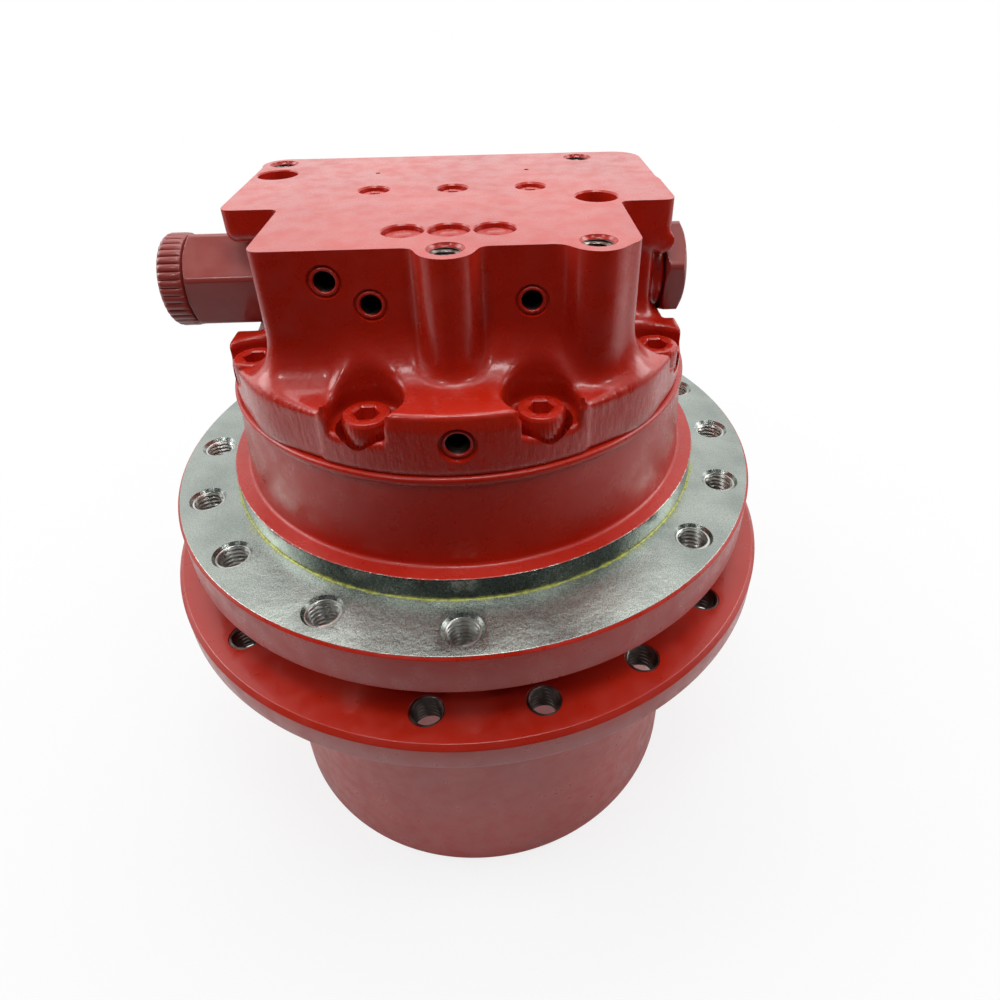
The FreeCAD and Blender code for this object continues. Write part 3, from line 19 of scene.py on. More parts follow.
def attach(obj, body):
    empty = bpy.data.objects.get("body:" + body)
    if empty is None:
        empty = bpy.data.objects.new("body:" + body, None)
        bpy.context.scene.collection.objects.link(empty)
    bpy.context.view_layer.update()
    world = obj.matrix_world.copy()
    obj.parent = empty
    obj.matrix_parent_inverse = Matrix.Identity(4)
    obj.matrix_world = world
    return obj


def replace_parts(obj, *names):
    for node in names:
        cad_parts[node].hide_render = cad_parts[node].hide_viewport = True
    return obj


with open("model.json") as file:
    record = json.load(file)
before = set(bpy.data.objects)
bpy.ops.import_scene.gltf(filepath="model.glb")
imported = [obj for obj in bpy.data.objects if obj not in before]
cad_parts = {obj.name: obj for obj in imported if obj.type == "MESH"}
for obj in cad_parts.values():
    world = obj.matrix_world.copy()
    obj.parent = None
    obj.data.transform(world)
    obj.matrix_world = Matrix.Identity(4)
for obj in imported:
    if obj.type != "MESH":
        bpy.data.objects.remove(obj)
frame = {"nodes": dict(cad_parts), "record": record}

LOG = logging.getLogger("final_drive")
MM = 0.001
TAU = 2.0 * math.pi
SIXTH = TAU / 6.0
MERGE_M = 1e-6
Colour = Tuple[float, float, float]
Point2 = Tuple[float, float]
Point3 = Tuple[float, float, float]
Surface = Tuple[np.ndarray, np.ndarray]
Mesh = bpy.types.Mesh
Material = bpy.types.Material
Socket = bpy.types.NodeSocket

ORIGIN = (0.0, 0.0, 0.0)
MANIFOLD_Z = 88.0
SCREW_CIRCLE = 65.5
SCREW_DEGREES = (-155.0, -110.0, -70.0, -25.0, 70.0, 110.0, 155.0)
SPOOL_Y = 3.0
SPOOL_Z = 62.5
LEFT_BOSS_X = -58.0
RIGHT_BOSS_X = 64.6
SOCKET_PLUG_PLACES = ((-23.8, 5.5), (0.0, 5.5), (23.8, 5.5))
DISC_PLUG_PLACES = ((-11.6, -35.0), (0.3, -35.0), (12.2, -35.0))


class Body(Enum):
    """The bodies that the new pieces ride on."""

    FRAME = "frame_side"
    HUB = "hub"


class Axis(Enum):
    """The direction in which a turned piece is laid."""

    UP = "z"
    RIGHT = "x"
    LEFT = "-x"
    FRONT = "-y"


def rounded_profile(corners: Sequence[Tuple[float, float, float]], steps: int = 5) -> np.ndarray:
    """Round each corner of a closed (radius, height) outline by its own radius.

    A corner becomes an arc that starts and ends at radius / tan(half angle) from it.

    Args:
        corners: radius, height and rounding of each corner in order.
        steps: points on each arc, less one.

    Returns:
        The points of the outline, one row each.
    """
    points = np.array([corner[:2] for corner in corners], float)
    rows: List[np.ndarray] = []
    for index, corner in enumerate(corners):
        here = points[index]
        back = points[index - 1] - here
        onward = points[(index + 1) % len(points)] - here
        if corner[2] <= 0.0:
            rows.append(here[None, :])
            continue
        back /= np.linalg.norm(back)
        onward /= np.linalg.norm(onward)
        half = math.acos(float(np.clip(back @ onward, -1.0, 1.0))) / 2.0
        reach = corner[2] / math.tan(half)
        middle = here + (back + onward) / np.linalg.norm(back + onward) * corner[2] / math.sin(half)
        start = here + back * reach - middle
        finish = here + onward * reach - middle
        turn = math.atan2(start[0] * finish[1] - start[1] * finish[0], float(start @ finish))
        angles = np.linspace(0.0, turn, steps + 1)
        cos, sin = np.cos(angles), np.sin(angles)
        rows.append(middle + np.stack([start[0] * cos - start[1] * sin,
                                       start[0] * sin + start[1] * cos], axis=1))
    return np.concatenate(rows)


def ring_surface(radius: np.ndarray, height: np.ndarray, closed: bool) -> Surface:
    """A surface whose points are (radius cos a, radius sin a, height) on a grid of rings and angles.

    Args:
        radius: one row for each ring and one column for each angle.
        height: heights of the same shape.
        closed: whether the last ring joins the first, as on a tube with thickness.

    Returns:
        Vertices and quads.
    """
    rings, around = radius.shape
    angle = np.linspace(0.0, TAU, around, endpoint=False)[None, :]
    verts = np.stack([radius * np.cos(angle), radius * np.sin(angle), height], axis=-1)
    number = np.arange(rings * around).reshape(rings, around)
    last = rings if closed else rings - 1
    low = number[np.arange(last) % rings]
    high = number[(np.arange(last) + 1) % rings]
    quads = np.stack([low, np.roll(low, -1, axis=1), np.roll(high, -1, axis=1), high], axis=-1)
    return verts.reshape(-1, 3), quads.reshape(-1, 4)


def laid(verts: np.ndarray, axis: Axis, at: Point3) -> np.ndarray:
    """Turn upright vertices to an axis and move them to a place.

    Args:
        verts: vertices of a piece that stands on the origin.
        axis: the way its height points after the turn.
        at: where its foot goes.

    Returns:
        The vertices in their place.
    """
    x, y, z = verts[:, 0], verts[:, 1], verts[:, 2]
    turned = {
        Axis.UP: (x, y, z),
        Axis.RIGHT: (z, y, -x),
        Axis.LEFT: (-z, y, x),
        Axis.FRONT: (x, -z, y),
    }[axis]
    return np.stack(turned, axis=-1) + np.array(at, float)


def new_mesh(name: str, verts: np.ndarray, quads: np.ndarray) -> Mesh:
    """Put vertices in millimetres and faces into a mesh, with poles and seams merged.

    Args:
        name: the mesh's name.
        verts: one row of x, y and z for each vertex.
        quads: four vertex numbers for each face.

    Returns:
        The mesh, its faces pointing outwards.
    """
    mesh = bpy.data.meshes.new(name)
    mesh.vertices.add(len(verts))
    mesh.vertices.foreach_set("co", (verts * MM).astype(np.float32).ravel())
    mesh.loops.add(quads.size)
    mesh.loops.foreach_set("vertex_index", quads.astype(np.int32).ravel())
    mesh.polygons.add(len(quads))
    mesh.polygons.foreach_set("loop_start", np.arange(0, quads.size, 4, dtype=np.int32))
    mesh.update(calc_edges=True)
    work = bmesh.new()
    work.from_mesh(mesh)
    bmesh.ops.remove_doubles(work, verts=work.verts, dist=MERGE_M)
    bmesh.ops.recalc_face_normals(work, faces=work.faces)
    work.to_mesh(mesh)
    work.free()
    return mesh


def joined(parts: Sequence[Surface]) -> Surface:
    """Put several surfaces into one set of vertices and quads."""
    starts = np.cumsum([0] + [len(verts) for verts, _ in parts])
    verts = np.concatenate([verts for verts, _ in parts])
    quads = np.concatenate([quads + start for (_, quads), start in zip(parts, starts)])
    return verts, quads
def revolved(rows: Sequence[Tuple[object, float]], around: int) -> Surface:
    """An open surface from (radius, height) rows, each radius a number or one for each angle."""
    radius = np.stack([row[0] * np.ones(around) for row in rows])
    height = np.stack([np.full(around, row[1]) for row in rows])
    return ring_surface(radius, height, False)


def round_bar(stops: Sequence[Point2], around: int, axis: Axis = Axis.UP, at: Point3 = ORIGIN
              ) -> Surface:
    """A turned solid from its (radius, height) stops, closed at both ends on its axis."""
    rows = [(0.0, stops[0][1])] + list(stops) + [(0.0, stops[-1][1])]
    verts, quads = revolved(rows, around)
    return laid(verts, axis, at), quads


def turned_blank(name: str, outline: np.ndarray, around: int = 256) -> Mesh:
    """A solid turned from a closed (radius, height) outline."""
    ones = np.ones((1, around))
    return new_mesh(name, *ring_surface(outline[:, :1] * ones, outline[:, 1:] * ones, True))


def angles(around: int) -> np.ndarray:
    """Evenly spaced angles once round."""
    return np.linspace(0.0, TAU, around, endpoint=False)


def hexagon_radius(across_flats: float, angle: np.ndarray) -> np.ndarray:
    """Half a hexagon's width over the cosine of the angle from the nearest flat's middle."""
    return across_flats / 2.0 / np.cos((angle % SIXTH) - SIXTH / 2.0)


def copies_at(part: Surface, places: Sequence[Point2]) -> List[Surface]:
    """Upright copies of a part, one at each place."""
    verts, quads = part
    return [(verts + np.array([x, y, 0.0]), quads) for x, y in places]


def copies_round(part: Surface, radius: float, degrees: Sequence[float]
                 ) -> List[Surface]:
    """Upright copies of a part at a radius and each angle round the drive's axis."""
    turns = [math.radians(degree) for degree in degrees]
    return copies_at(part, [(radius * math.cos(turn), radius * math.sin(turn)) for turn in turns])


def add_piece(name: str, mesh: Mesh, material: Material, body: Body,
              sharp_degrees: float = 38.0) -> bpy.types.Object:
    """Make a mesh a piece of the drive.

    Args:
        name: the piece's name.
        mesh: its finished mesh.
        material: its finish.
        body: what it rides on.
        sharp_degrees: edges that turn by more than this stay crisp.

    Returns:
        The object, at the origin.
    """
    mesh.materials.clear()
    mesh.materials.append(material)
    mesh.polygons.foreach_set("use_smooth", np.ones(len(mesh.polygons), bool))
    mesh.set_sharp_from_angle(angle=math.radians(sharp_degrees))
    mesh.update()
    piece = bpy.data.objects.new(name, mesh)
    bpy.context.scene.collection.objects.link(piece)
    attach(piece, body.value)
    LOG.info("%s: %d faces", name, len(mesh.polygons))
    return piece


def carved(mesh: Mesh, cutter: Surface, name: str) -> Mesh:
    """Cut one set of closed surfaces out of a mesh.

    Args:
        mesh: the solid's mesh.
        cutter: vertices and quads of everything that is cut away.
        name: the result's name.

    Returns:
        The cut mesh.
    """
    block = bpy.data.objects.new(name + "_blank", mesh)
    tool = bpy.data.objects.new(name + "_tool", new_mesh(name + "_tool", *cutter))
    for thing in (block, tool):
        bpy.context.scene.collection.objects.link(thing)
    cut = block.modifiers.new("cut", "BOOLEAN")
    cut.operation = "DIFFERENCE"
    cut.solver = "MANIFOLD"
    cut.object = tool
    graph = bpy.context.evaluated_depsgraph_get()
    result = bpy.data.meshes.new_from_object(block.evaluated_get(graph))
    result.name = name
    for thing in (block, tool):
        bpy.data.objects.remove(thing)
    return result

class NodeDesk:
    """Lays out the nodes of one tree."""

    def __init__(self, tree: bpy.types.NodeTree) -> None:
        """Start with the tree empty."""
        self.tree = tree
        self.tree.nodes.clear()

    def node(self, kind: str) -> bpy.types.Node:
        """A new node, by the end of its type's name."""
        return self.tree.nodes.new("ShaderNode" + kind)

    def feed(self, socket: Socket, value: object) -> None:
        """Link a socket to another, or set its number or colour."""
        if isinstance(value, Socket):
            self.tree.links.new(value, socket)
        elif isinstance(value, tuple) and len(value) == 3 and len(socket.default_value) == 4:
            socket.default_value = value + (1.0,)
        else:
            socket.default_value = value

    def sum_of(self, operation: str, first: object, second: object = 0.0, third: object = 0.0
               ) -> Socket:
        """One math node."""
        node = self.node("Math")
        node.operation = operation
        for socket, value in zip(node.inputs, (first, second, third)):
            self.feed(socket, value)
        return node.outputs[0]

    def times(self, first: object, second: object) -> Socket:
        """The product of two numbers."""
        return self.sum_of("MULTIPLY", first, second)

    def ease(self, value: object, low: float, high: float, out_low: float = 0.0, out_high: float = 1.0
             ) -> Socket:
        """A smooth step from one value to another."""
        node = self.node("MapRange")
        node.interpolation_type = "SMOOTHSTEP"
        for key, number in (("Value", value), ("From Min", low), ("From Max", high),
                            ("To Min", out_low), ("To Max", out_high)):
            self.feed(node.inputs[key], number)
        return node.outputs["Result"]

    def between(self, share: object, first: object, second: object) -> Socket:
        """A number between two numbers."""
        node = self.node("Mix")
        for place, value in ((0, share), (2, first), (3, second)):
            self.feed(node.inputs[place], value)
        return node.outputs[0]

    def blend(self, share: object, first: object, second: object) -> Socket:
        """A colour between two colours."""
        node = self.node("Mix")
        node.data_type = "RGBA"
        for place, value in ((0, share), (6, first), (7, second)):
            self.feed(node.inputs[place], value)
        return node.outputs[2]

    def where(self, kind: str) -> Socket:
        """One kind of coordinates."""
        return self.node("TexCoord").outputs[kind]

    def parts(self, vector: Socket) -> Sequence[Socket]:
        """The three numbers of a vector."""
        split = self.node("SeparateXYZ")
        self.feed(split.inputs[0], vector)
        return split.outputs

    def ray(self, kind: str) -> Socket:
        """One for one kind of ray, else nought."""
        return self.node("LightPath").outputs["Is %s Ray" % kind]

    def seen(self) -> Socket:
        """One for rays that come straight from the camera or through glass."""
        return self.sum_of("MAXIMUM", self.ray("Camera"), self.ray("Transmission"))


class ShaderDesk(NodeDesk):
    """Lays out one material round a principled shader."""

    def __init__(self, name: str) -> None:
        """Start the material."""
        self.material = bpy.data.materials.new(name)
        self.material.use_nodes = True
        super().__init__(self.material.node_tree)
        self.shader = self.node("BsdfPrincipled")
        self.feed(self.node("OutputMaterial").inputs["Surface"], self.shader.outputs["BSDF"])
        self.place = self.where("Object")

    def grain(self, size_mm: float, detail: float = 3.0, rough: float = 0.55,
              stretch: Point3 = (1.0, 1.0, 1.0)) -> Socket:
        """Noise whose blotches are about a given size."""
        mapping = self.node("Mapping")
        mapping.inputs["Scale"].default_value = stretch
        self.feed(mapping.inputs["Vector"], self.place)
        node = self.node("TexNoise")
        for key, value in (("Vector", mapping.outputs["Vector"]), ("Scale", 1.0 / (size_mm * MM)),
                           ("Detail", detail), ("Roughness", rough)):
            self.feed(node.inputs[key], value)
        return node.outputs["Fac"]

    def relief(self, height: object, depth_mm: float, strength: object = 1.0, under: object = None
               ) -> Socket:
        """A bump of a given depth, on top of another."""
        node = self.node("Bump")
        self.feed(node.inputs["Height"], height)
        self.feed(node.inputs["Distance"], depth_mm * MM)
        self.feed(node.inputs["Strength"], strength)
        if under is not None:
            self.feed(node.inputs["Normal"], under)
        return node.outputs["Normal"]

    def heights(self) -> Tuple[Socket, Socket]:
        """Distance from the drive's axis and height over the frame face, both in millimetres."""
        x, y, z = self.parts(self.place)
        square = self.sum_of("MULTIPLY_ADD", y, y, self.times(x, x))
        return self.times(self.sum_of("SQRT", square), 1.0 / MM), self.times(z, 1.0 / MM)

    def set(self, **sockets: object) -> None:
        """Feed the shader's sockets by name, spaces written as underscores."""
        for key, value in sockets.items():
            self.feed(self.shader.inputs[key.replace("_", " ")], value)


@dataclass(frozen=True)
class Enamel:
    """Red enamel sprayed over cast or turned iron."""

    name: str
    lit: Colour = (0.50, 0.0150, 0.0030)
    deep: Colour = (0.42, 0.0105, 0.0020)
    dust: Colour = (0.52, 0.06, 0.03)
    primer: Colour = (0.10, 0.055, 0.045)
    roughness: float = 0.30
    cast_depth: float = 0.10
    chips: float = 0.80
    faced_z: float = 1e3
    rim_r: float = 1e3
    rim_z: float = 51.5

    def colours(self, desk: ShaderDesk) -> Tuple[Socket, Socket]:
        """The paint's colour and where it is chipped to the primer.

        Args:
            desk: the material that is laid out.

        Returns:
            Colour and the share of chips.
        """
        cloud = desk.ease(desk.grain(38.0, 3.0), 0.30, 0.72)
        paint = desk.blend(cloud, self.deep, self.lit)
        dust = desk.ease(desk.grain(1.1, 5.0, 0.7), 0.60, 0.76, 0.0, 0.10)
        paint = desk.blend(dust, paint, self.dust)
        chip = desk.times(desk.ease(desk.grain(3.1, 5.0, 0.6), self.chips, self.chips + 0.015),
                          desk.ease(desk.grain(17.0, 2.0), 0.52, 0.60))
        return desk.blend(chip, paint, self.primer), chip

    def surface(self, desk: ShaderDesk) -> Socket:
        """Cast grain under the paint's fine orange peel."""
        radius, height = desk.heights()
        rough = desk.ease(height, self.faced_z - 0.5, self.faced_z - 0.15, 1.0, 0.05)
        cast = desk.relief(desk.grain(2.6, 6.0, 0.62), self.cast_depth * 2.2, desk.times(rough, 0.5))
        wave = desk.relief(desk.grain(12.0, 2.0, 0.4), self.cast_depth * 4.5, desk.times(rough, 0.45),
                           cast)
        rim = desk.times(desk.ease(radius, self.rim_r - 0.9, self.rim_r - 0.4),
                         desk.ease(height, self.rim_z, self.rim_z + 2.0, 1.0, 0.0))
        streaks = desk.relief(desk.grain(1.5, 4.0, 0.6, (1.0, 1.0, 0.28)), 0.55, desk.times(rim, 0.7),
                              wave)
        return desk.relief(desk.grain(0.9, 3.0, 0.6), 0.05, desk.times(rough, 0.6), streaks)

    def dress(self) -> Material:
        """The finished material."""
        desk = ShaderDesk(self.name)
        colour, chip = self.colours(desk)
        rough = desk.ease(desk.grain(6.0, 5.0), 0.3, 0.75, self.roughness - 0.07, self.roughness + 0.12)
        rough = desk.sum_of("MULTIPLY_ADD", chip, 0.3, rough)
        desk.set(Base_Color=colour, Roughness=rough, Normal=self.surface(desk),
                 Coat_Weight=0.35, Coat_Roughness=0.12)
        return desk.material


@dataclass(frozen=True)
class FlangeFinish:
    """The spindle housing: red enamel with a bare machined frame face and pilot wall."""

    name: str = "housing_enamel_and_bare_face"
    paint: Enamel = Enamel("housing_enamel")
    steel: Colour = (0.36, 0.395, 0.36)
    shade: Colour = (0.25, 0.28, 0.26)
    pits: Colour = (0.10, 0.105, 0.085)
    grease: Colour = (0.50, 0.52, 0.06)
    old_grease: Colour = (0.16, 0.15, 0.015)
    face_in: float = 80.0
    face_out: float = 99.3
    pilot_top: float = 7.5
    turning_pitch: float = 0.22

    def band(self, desk: ShaderDesk, value: object, low: float, high: float, edge: float
             ) -> Socket:
        """One between two limits with soft edges, else nought."""
        rise = desk.ease(value, low - edge, low + edge)
        fall = desk.ease(value, high - edge, high + edge, 1.0, 0.0)
        return desk.times(rise, fall)

    def dress(self) -> Material:
        """The finished material."""
        desk = ShaderDesk(self.name)
        radius, height = desk.heights()
        ragged = desk.ease(desk.grain(1.6, 4.0), 0.3, 0.7, -0.10, 0.10)
        torn = desk.times(desk.ease(desk.grain(9.0, 2.0), 0.56, 0.66),
                          desk.ease(desk.grain(0.9, 3.0), 0.45, 0.6, 0.0, 0.7))
        loose = desk.sum_of("ADD", radius, ragged)
        face = desk.times(self.band(desk, loose, self.face_in - 0.9, self.face_out, 0.10),
                          self.band(desk, height, -0.12, 0.25, 0.05))
        cones = desk.times(self.band(desk, radius, self.face_in + 3.0, self.face_out - 2.0, 0.3),
                           self.band(desk, height, -1.6, 0.25, 0.1))
        wall_top = desk.sum_of("ADD", desk.sum_of("ADD", height, ragged), torn)
        wall = desk.times(self.band(desk, radius, self.face_in - 0.4, self.face_in + 0.4, 0.05),
                          self.band(desk, wall_top, -0.4, self.pilot_top - 0.1, 0.08))
        bare = desk.sum_of("MAXIMUM", desk.sum_of("MAXIMUM", face, wall), cones)
        red, _ = self.paint.colours(desk)
        speck = desk.ease(desk.grain(0.45, 4.0, 0.75), 0.50, 0.66, 0.0, 0.55)
        cloud = desk.ease(desk.grain(18.0, 4.0), 0.3, 0.75)
        steel = desk.blend(cloud, self.steel, self.shade)
        steel = desk.blend(speck, steel, self.pits)
        patch = desk.ease(desk.grain(26.0, 3.0), 0.46, 0.62)
        smear = desk.times(desk.ease(desk.grain(5.0, 5.0, 0.65), 0.47, 0.60),
                           desk.ease(loose, self.face_in + 0.9, self.face_in + 3.4, 1.0, 0.0))
        smear = desk.times(smear, patch)
        width = desk.ease(desk.grain(4.0, 4.0), 0.3, 0.7, -0.25, 0.30)
        line = desk.ease(desk.sum_of("ADD", radius, width), self.face_in + 0.35, self.face_in + 0.95,
                         1.0, 0.0)
        low = desk.ease(desk.sum_of("ADD", height, width), 0.35, 0.95, 1.0, 0.0)
        greased = desk.times(desk.sum_of("MAXIMUM", desk.times(smear, 0.30), line), low)
        grease = desk.blend(desk.ease(desk.grain(1.5, 4.0, 0.7), 0.42, 0.66), self.grease, self.old_grease)
        steel = desk.blend(desk.times(greased, 0.85), steel, grease)
        rings = desk.sum_of("SINE", desk.times(radius, TAU / self.turning_pitch))
        drag = desk.times(desk.ease(desk.grain(0.5, 4.0, 0.7), 0.3, 0.7), bare)
        turned = desk.relief(drag, 0.012, 0.25, self.paint.surface(desk))
        turned = desk.relief(desk.times(rings, bare), 0.005, 0.5, turned)
        dull = desk.ease(desk.grain(0.7, 4.0, 0.7), 0.35, 0.65, 0.21, 0.31)
        glossy = desk.ease(desk.grain(6.0, 5.0), 0.3, 0.75, 0.24, 0.42)
        rough = desk.sum_of("MULTIPLY_ADD", bare, desk.sum_of("SUBTRACT", dull, glossy), glossy)
        metal = desk.times(bare, desk.sum_of("MULTIPLY_ADD", greased, -0.8, 1.0))
        desk.set(Base_Color=desk.blend(bare, red, steel), Roughness=rough, Metallic=metal, Normal=turned,
                 Coat_Weight=0.12, Coat_Roughness=0.15)
        return desk.material


@dataclass(frozen=True)
class Metal:
    """Plain metal with turning marks, stains and fine scratches."""

    name: str
    colour: Colour
    stain: Colour
    roughness: float
    metallic: float = 1.0
    mark_pitch: float = 0.35
    mark_depth: float = 0.008
    pit_size: float = 1.2

    def dress(self) -> Material:
        """The finished material."""
        desk = ShaderDesk(self.name)
        radius, height = desk.heights()
        cloud = desk.ease(desk.grain(9.0, 5.0), 0.35, 0.72)
        speck = desk.ease(desk.grain(self.pit_size, 5.0, 0.7), 0.60, 0.74, 0.0, 0.6)
        colour = desk.blend(cloud, self.colour, self.stain)
        colour = desk.blend(speck, colour, tuple(0.45 * part for part in self.stain))
        marks = desk.sum_of("SINE", desk.times(desk.sum_of("ADD", radius, height),
                                               TAU / self.mark_pitch))
        relief = desk.relief(marks, self.mark_depth, 0.5)
        relief = desk.relief(desk.grain(0.9, 4.0), 0.02, 0.5, relief)
        rough = desk.ease(desk.grain(4.0, 5.0), 0.3, 0.7, self.roughness - 0.07, self.roughness + 0.1)
        desk.set(Base_Color=colour, Roughness=rough, Metallic=self.metallic, Normal=relief)
        return desk.material

class CastField:
    """A solid as the distance from its skin at every point of a grid, less than nought inside.

    Two bodies are joined with a fillet by min(a, b) - h * h * k / 4, where h is the share of the
    blend width k that is left over from |a - b|.
    """

    def __init__(self, low: Point3, high: Point3, step: float) -> None:
        """Lay out the grid between two corners."""
        counts = [int(round((b - a) / step)) + 1 for a, b in zip(low, high)]
        axes = [np.float32(a) + np.float32(step) * np.arange(n, dtype=np.float32)
                for a, n in zip(low, counts)]
        self.x = axes[0][:, None, None]
        self.y = axes[1][None, :, None]
        self.z = axes[2][None, None, :]
        self.low = np.array(low, float)
        self.step = step
        self.value = np.full(counts, 1e3, np.float32)

    def join(self, other: np.ndarray, blend: float = 0.0) -> None:
        """Add a body with a fillet of a blend width."""
        lower = np.minimum(self.value, other)
        if blend > 0.0:
            share = np.maximum(blend - np.abs(self.value - other), 0.0) / blend
            lower = lower - share * share * (blend * 0.25)
        self.value = lower

    def cut(self, other: np.ndarray, blend: float = 0.0) -> None:
        """Take a body away, its edge rounded by a blend width."""
        self.value = -self.value
        self.join(other, blend)
        self.value = -self.value

    def rounded_box(self, low: Point3, high: Point3, radius: float) -> np.ndarray:
        """Distance to a box between two corners, its edges rounded."""
        parts = []
        for grid, a, b in zip((self.x, self.y, self.z), low, high):
            parts.append(np.abs(grid - np.float32((a + b) / 2)) - np.float32((b - a) / 2 - radius))
        outside = np.sqrt(sum(np.maximum(part, 0.0) ** 2 for part in parts))
        inside = np.minimum(np.maximum(np.maximum(parts[0], parts[1]), parts[2]), 0.0)
        return outside + inside - np.float32(radius)

    @staticmethod
    def rimmed(across: np.ndarray, along: np.ndarray, edge: float) -> np.ndarray:
        """Distance to a cylinder with rounded rims, from those to its shrunk wall and ends."""
        return (np.sqrt(np.maximum(across, 0.0) ** 2 + np.maximum(along, 0.0) ** 2)
                + np.minimum(np.maximum(across, along), 0.0) - edge)

    def post(self, x: float, y: float, radius: float, low: float, high: float, edge: float) -> np.ndarray:
        """Distance to an upright cylinder with rounded rims."""
        across = np.sqrt((self.x - x) ** 2 + (self.y - y) ** 2) - (radius - edge)
        return self.rimmed(across, np.abs(self.z - (low + high) / 2) - ((high - low) / 2 - edge), edge)

    def barrel(self, radius: float, low: float, high: float, edge: float) -> np.ndarray:
        """Distance to a cylinder round the spool's axis with rounded rims."""
        across = np.sqrt((self.y - SPOOL_Y) ** 2 + (self.z - SPOOL_Z) ** 2) - (radius - edge)
        return self.rimmed(across, np.abs(self.x - (low + high) / 2) - ((high - low) / 2 - edge), edge)

    def skin(self) -> Surface:
        """The zero level as quads.

        Each cell that the skin crosses has one vertex, the mean of the points where the skin meets
        the cell's edges. Each crossed edge has one quad, through the four cells round it.

        Returns:
            Vertices in millimetres and quads that face outwards.
        """
        field_values = np.full_like(self.value, self.step)
        field_values[1:-1, 1:-1, 1:-1] = self.value[1:-1, 1:-1, 1:-1]
        inside = field_values < 0.0
        shape = tuple(n - 1 for n in field_values.shape)
        total = np.zeros(shape, np.float32)
        offset = [np.zeros(shape, np.float32) for _ in range(3)]
        crossings = []
        for axis in range(3):
            near = np.take(field_values, range(shape[axis]), axis)
            far = np.take(field_values, range(1, shape[axis] + 1), axis)
            crossed = (np.take(inside, range(shape[axis]), axis)
                       != np.take(inside, range(1, shape[axis] + 1), axis))
            share = np.where(crossed, near / np.where(crossed, near - far, 1.0), 0.0)
            crossings.append(crossed)
            others = [number for number in range(3) if number != axis]
            for first in (0, 1):
                for second in (0, 1):
                    window = [slice(None)] * 3
                    window[others[0]] = slice(first, first + shape[others[0]])
                    window[others[1]] = slice(second, second + shape[others[1]])
                    hit = crossed[tuple(window)].astype(np.float32)
                    total += hit
                    offset[axis] += share[tuple(window)]
                    offset[others[0]] += hit * first
                    offset[others[1]] += hit * second
        used = total > 0.0
        number = np.cumsum(used.ravel()).reshape(shape) - 1
        cells = np.argwhere(used)
        middle = np.stack([part[used] / total[used] for part in offset], axis=-1)
        verts = self.low + (cells + middle) * self.step
        quads = []
        for axis in range(3):
            first, second = (axis + 1) % 3, (axis + 2) % 3
            edges = np.argwhere(crossings[axis])
            keep = ((edges[:, first] > 0) & (edges[:, first] < shape[first])
                    & (edges[:, second] > 0) & (edges[:, second] < shape[second]))
            edges = edges[keep]
            ring = []
            for back_first, back_second in ((1, 1), (0, 1), (0, 0), (1, 0)):
                cell = edges.copy()
                cell[:, first] -= back_first
                cell[:, second] -= back_second
                ring.append(number[tuple(cell.T)])
            ring = np.stack(ring, axis=-1)
            outward = inside[tuple(edges.T)]
            quads.append(np.where(outward[:, None], ring, ring[:, ::-1]))
        return verts, np.concatenate(quads)


@dataclass
class ThreadLiner:
    """The thread of a tapped hole as a thin sleeve with a helical inside."""

    crest: float
    root: float
    wall: float
    pitch: float
    around: int = 28
    per_turn: int = 6

    def surface(self, low: float, high: float) -> Surface:
        """The sleeve between two heights.

        The inside's radius is crest + (root - crest) * w, where w goes up and down as a triangle
        of height / pitch less the angle's share of a turn.

        Args:
            low: the lower end.
            high: the upper end.

        Returns:
            Vertices and quads.
        """
        rows = int((high - low) / self.pitch * self.per_turn) + 1
        height = np.linspace(low, high, rows)[:, None] * np.ones((1, self.around))
        share = np.linspace(0.0, 1.0, self.around, endpoint=False)[None, :]
        phase = height / self.pitch - share
        wave = np.abs(2.0 * (phase - np.floor(phase)) - 1.0)
        inside = self.crest + (self.root - self.crest) * wave
        wall = np.full((2, self.around), self.wall)
        ends = np.array([[high], [low]]) * np.ones((1, self.around))
        return ring_surface(np.concatenate([inside, wall]), np.concatenate([height, ends]), True)


@dataclass(frozen=True)
class PlainHole:
    """Holes of one kind in the manifold face, each with a chamfered mouth."""

    radius: float
    depth: float
    lip: float
    mouth_r: float
    rise: float
    around: int
    places: Tuple[Point2, ...]

    def tools(self) -> List[Surface]:
        """What is cut away, a millimetre over the face."""
        stops = [(self.radius, MANIFOLD_Z - self.depth), (self.radius, MANIFOLD_Z - self.lip),
                 (self.mouth_r, MANIFOLD_Z + self.rise), (self.mouth_r, MANIFOLD_Z + 1.0)]
        return copies_at(round_bar(stops, self.around), self.places)


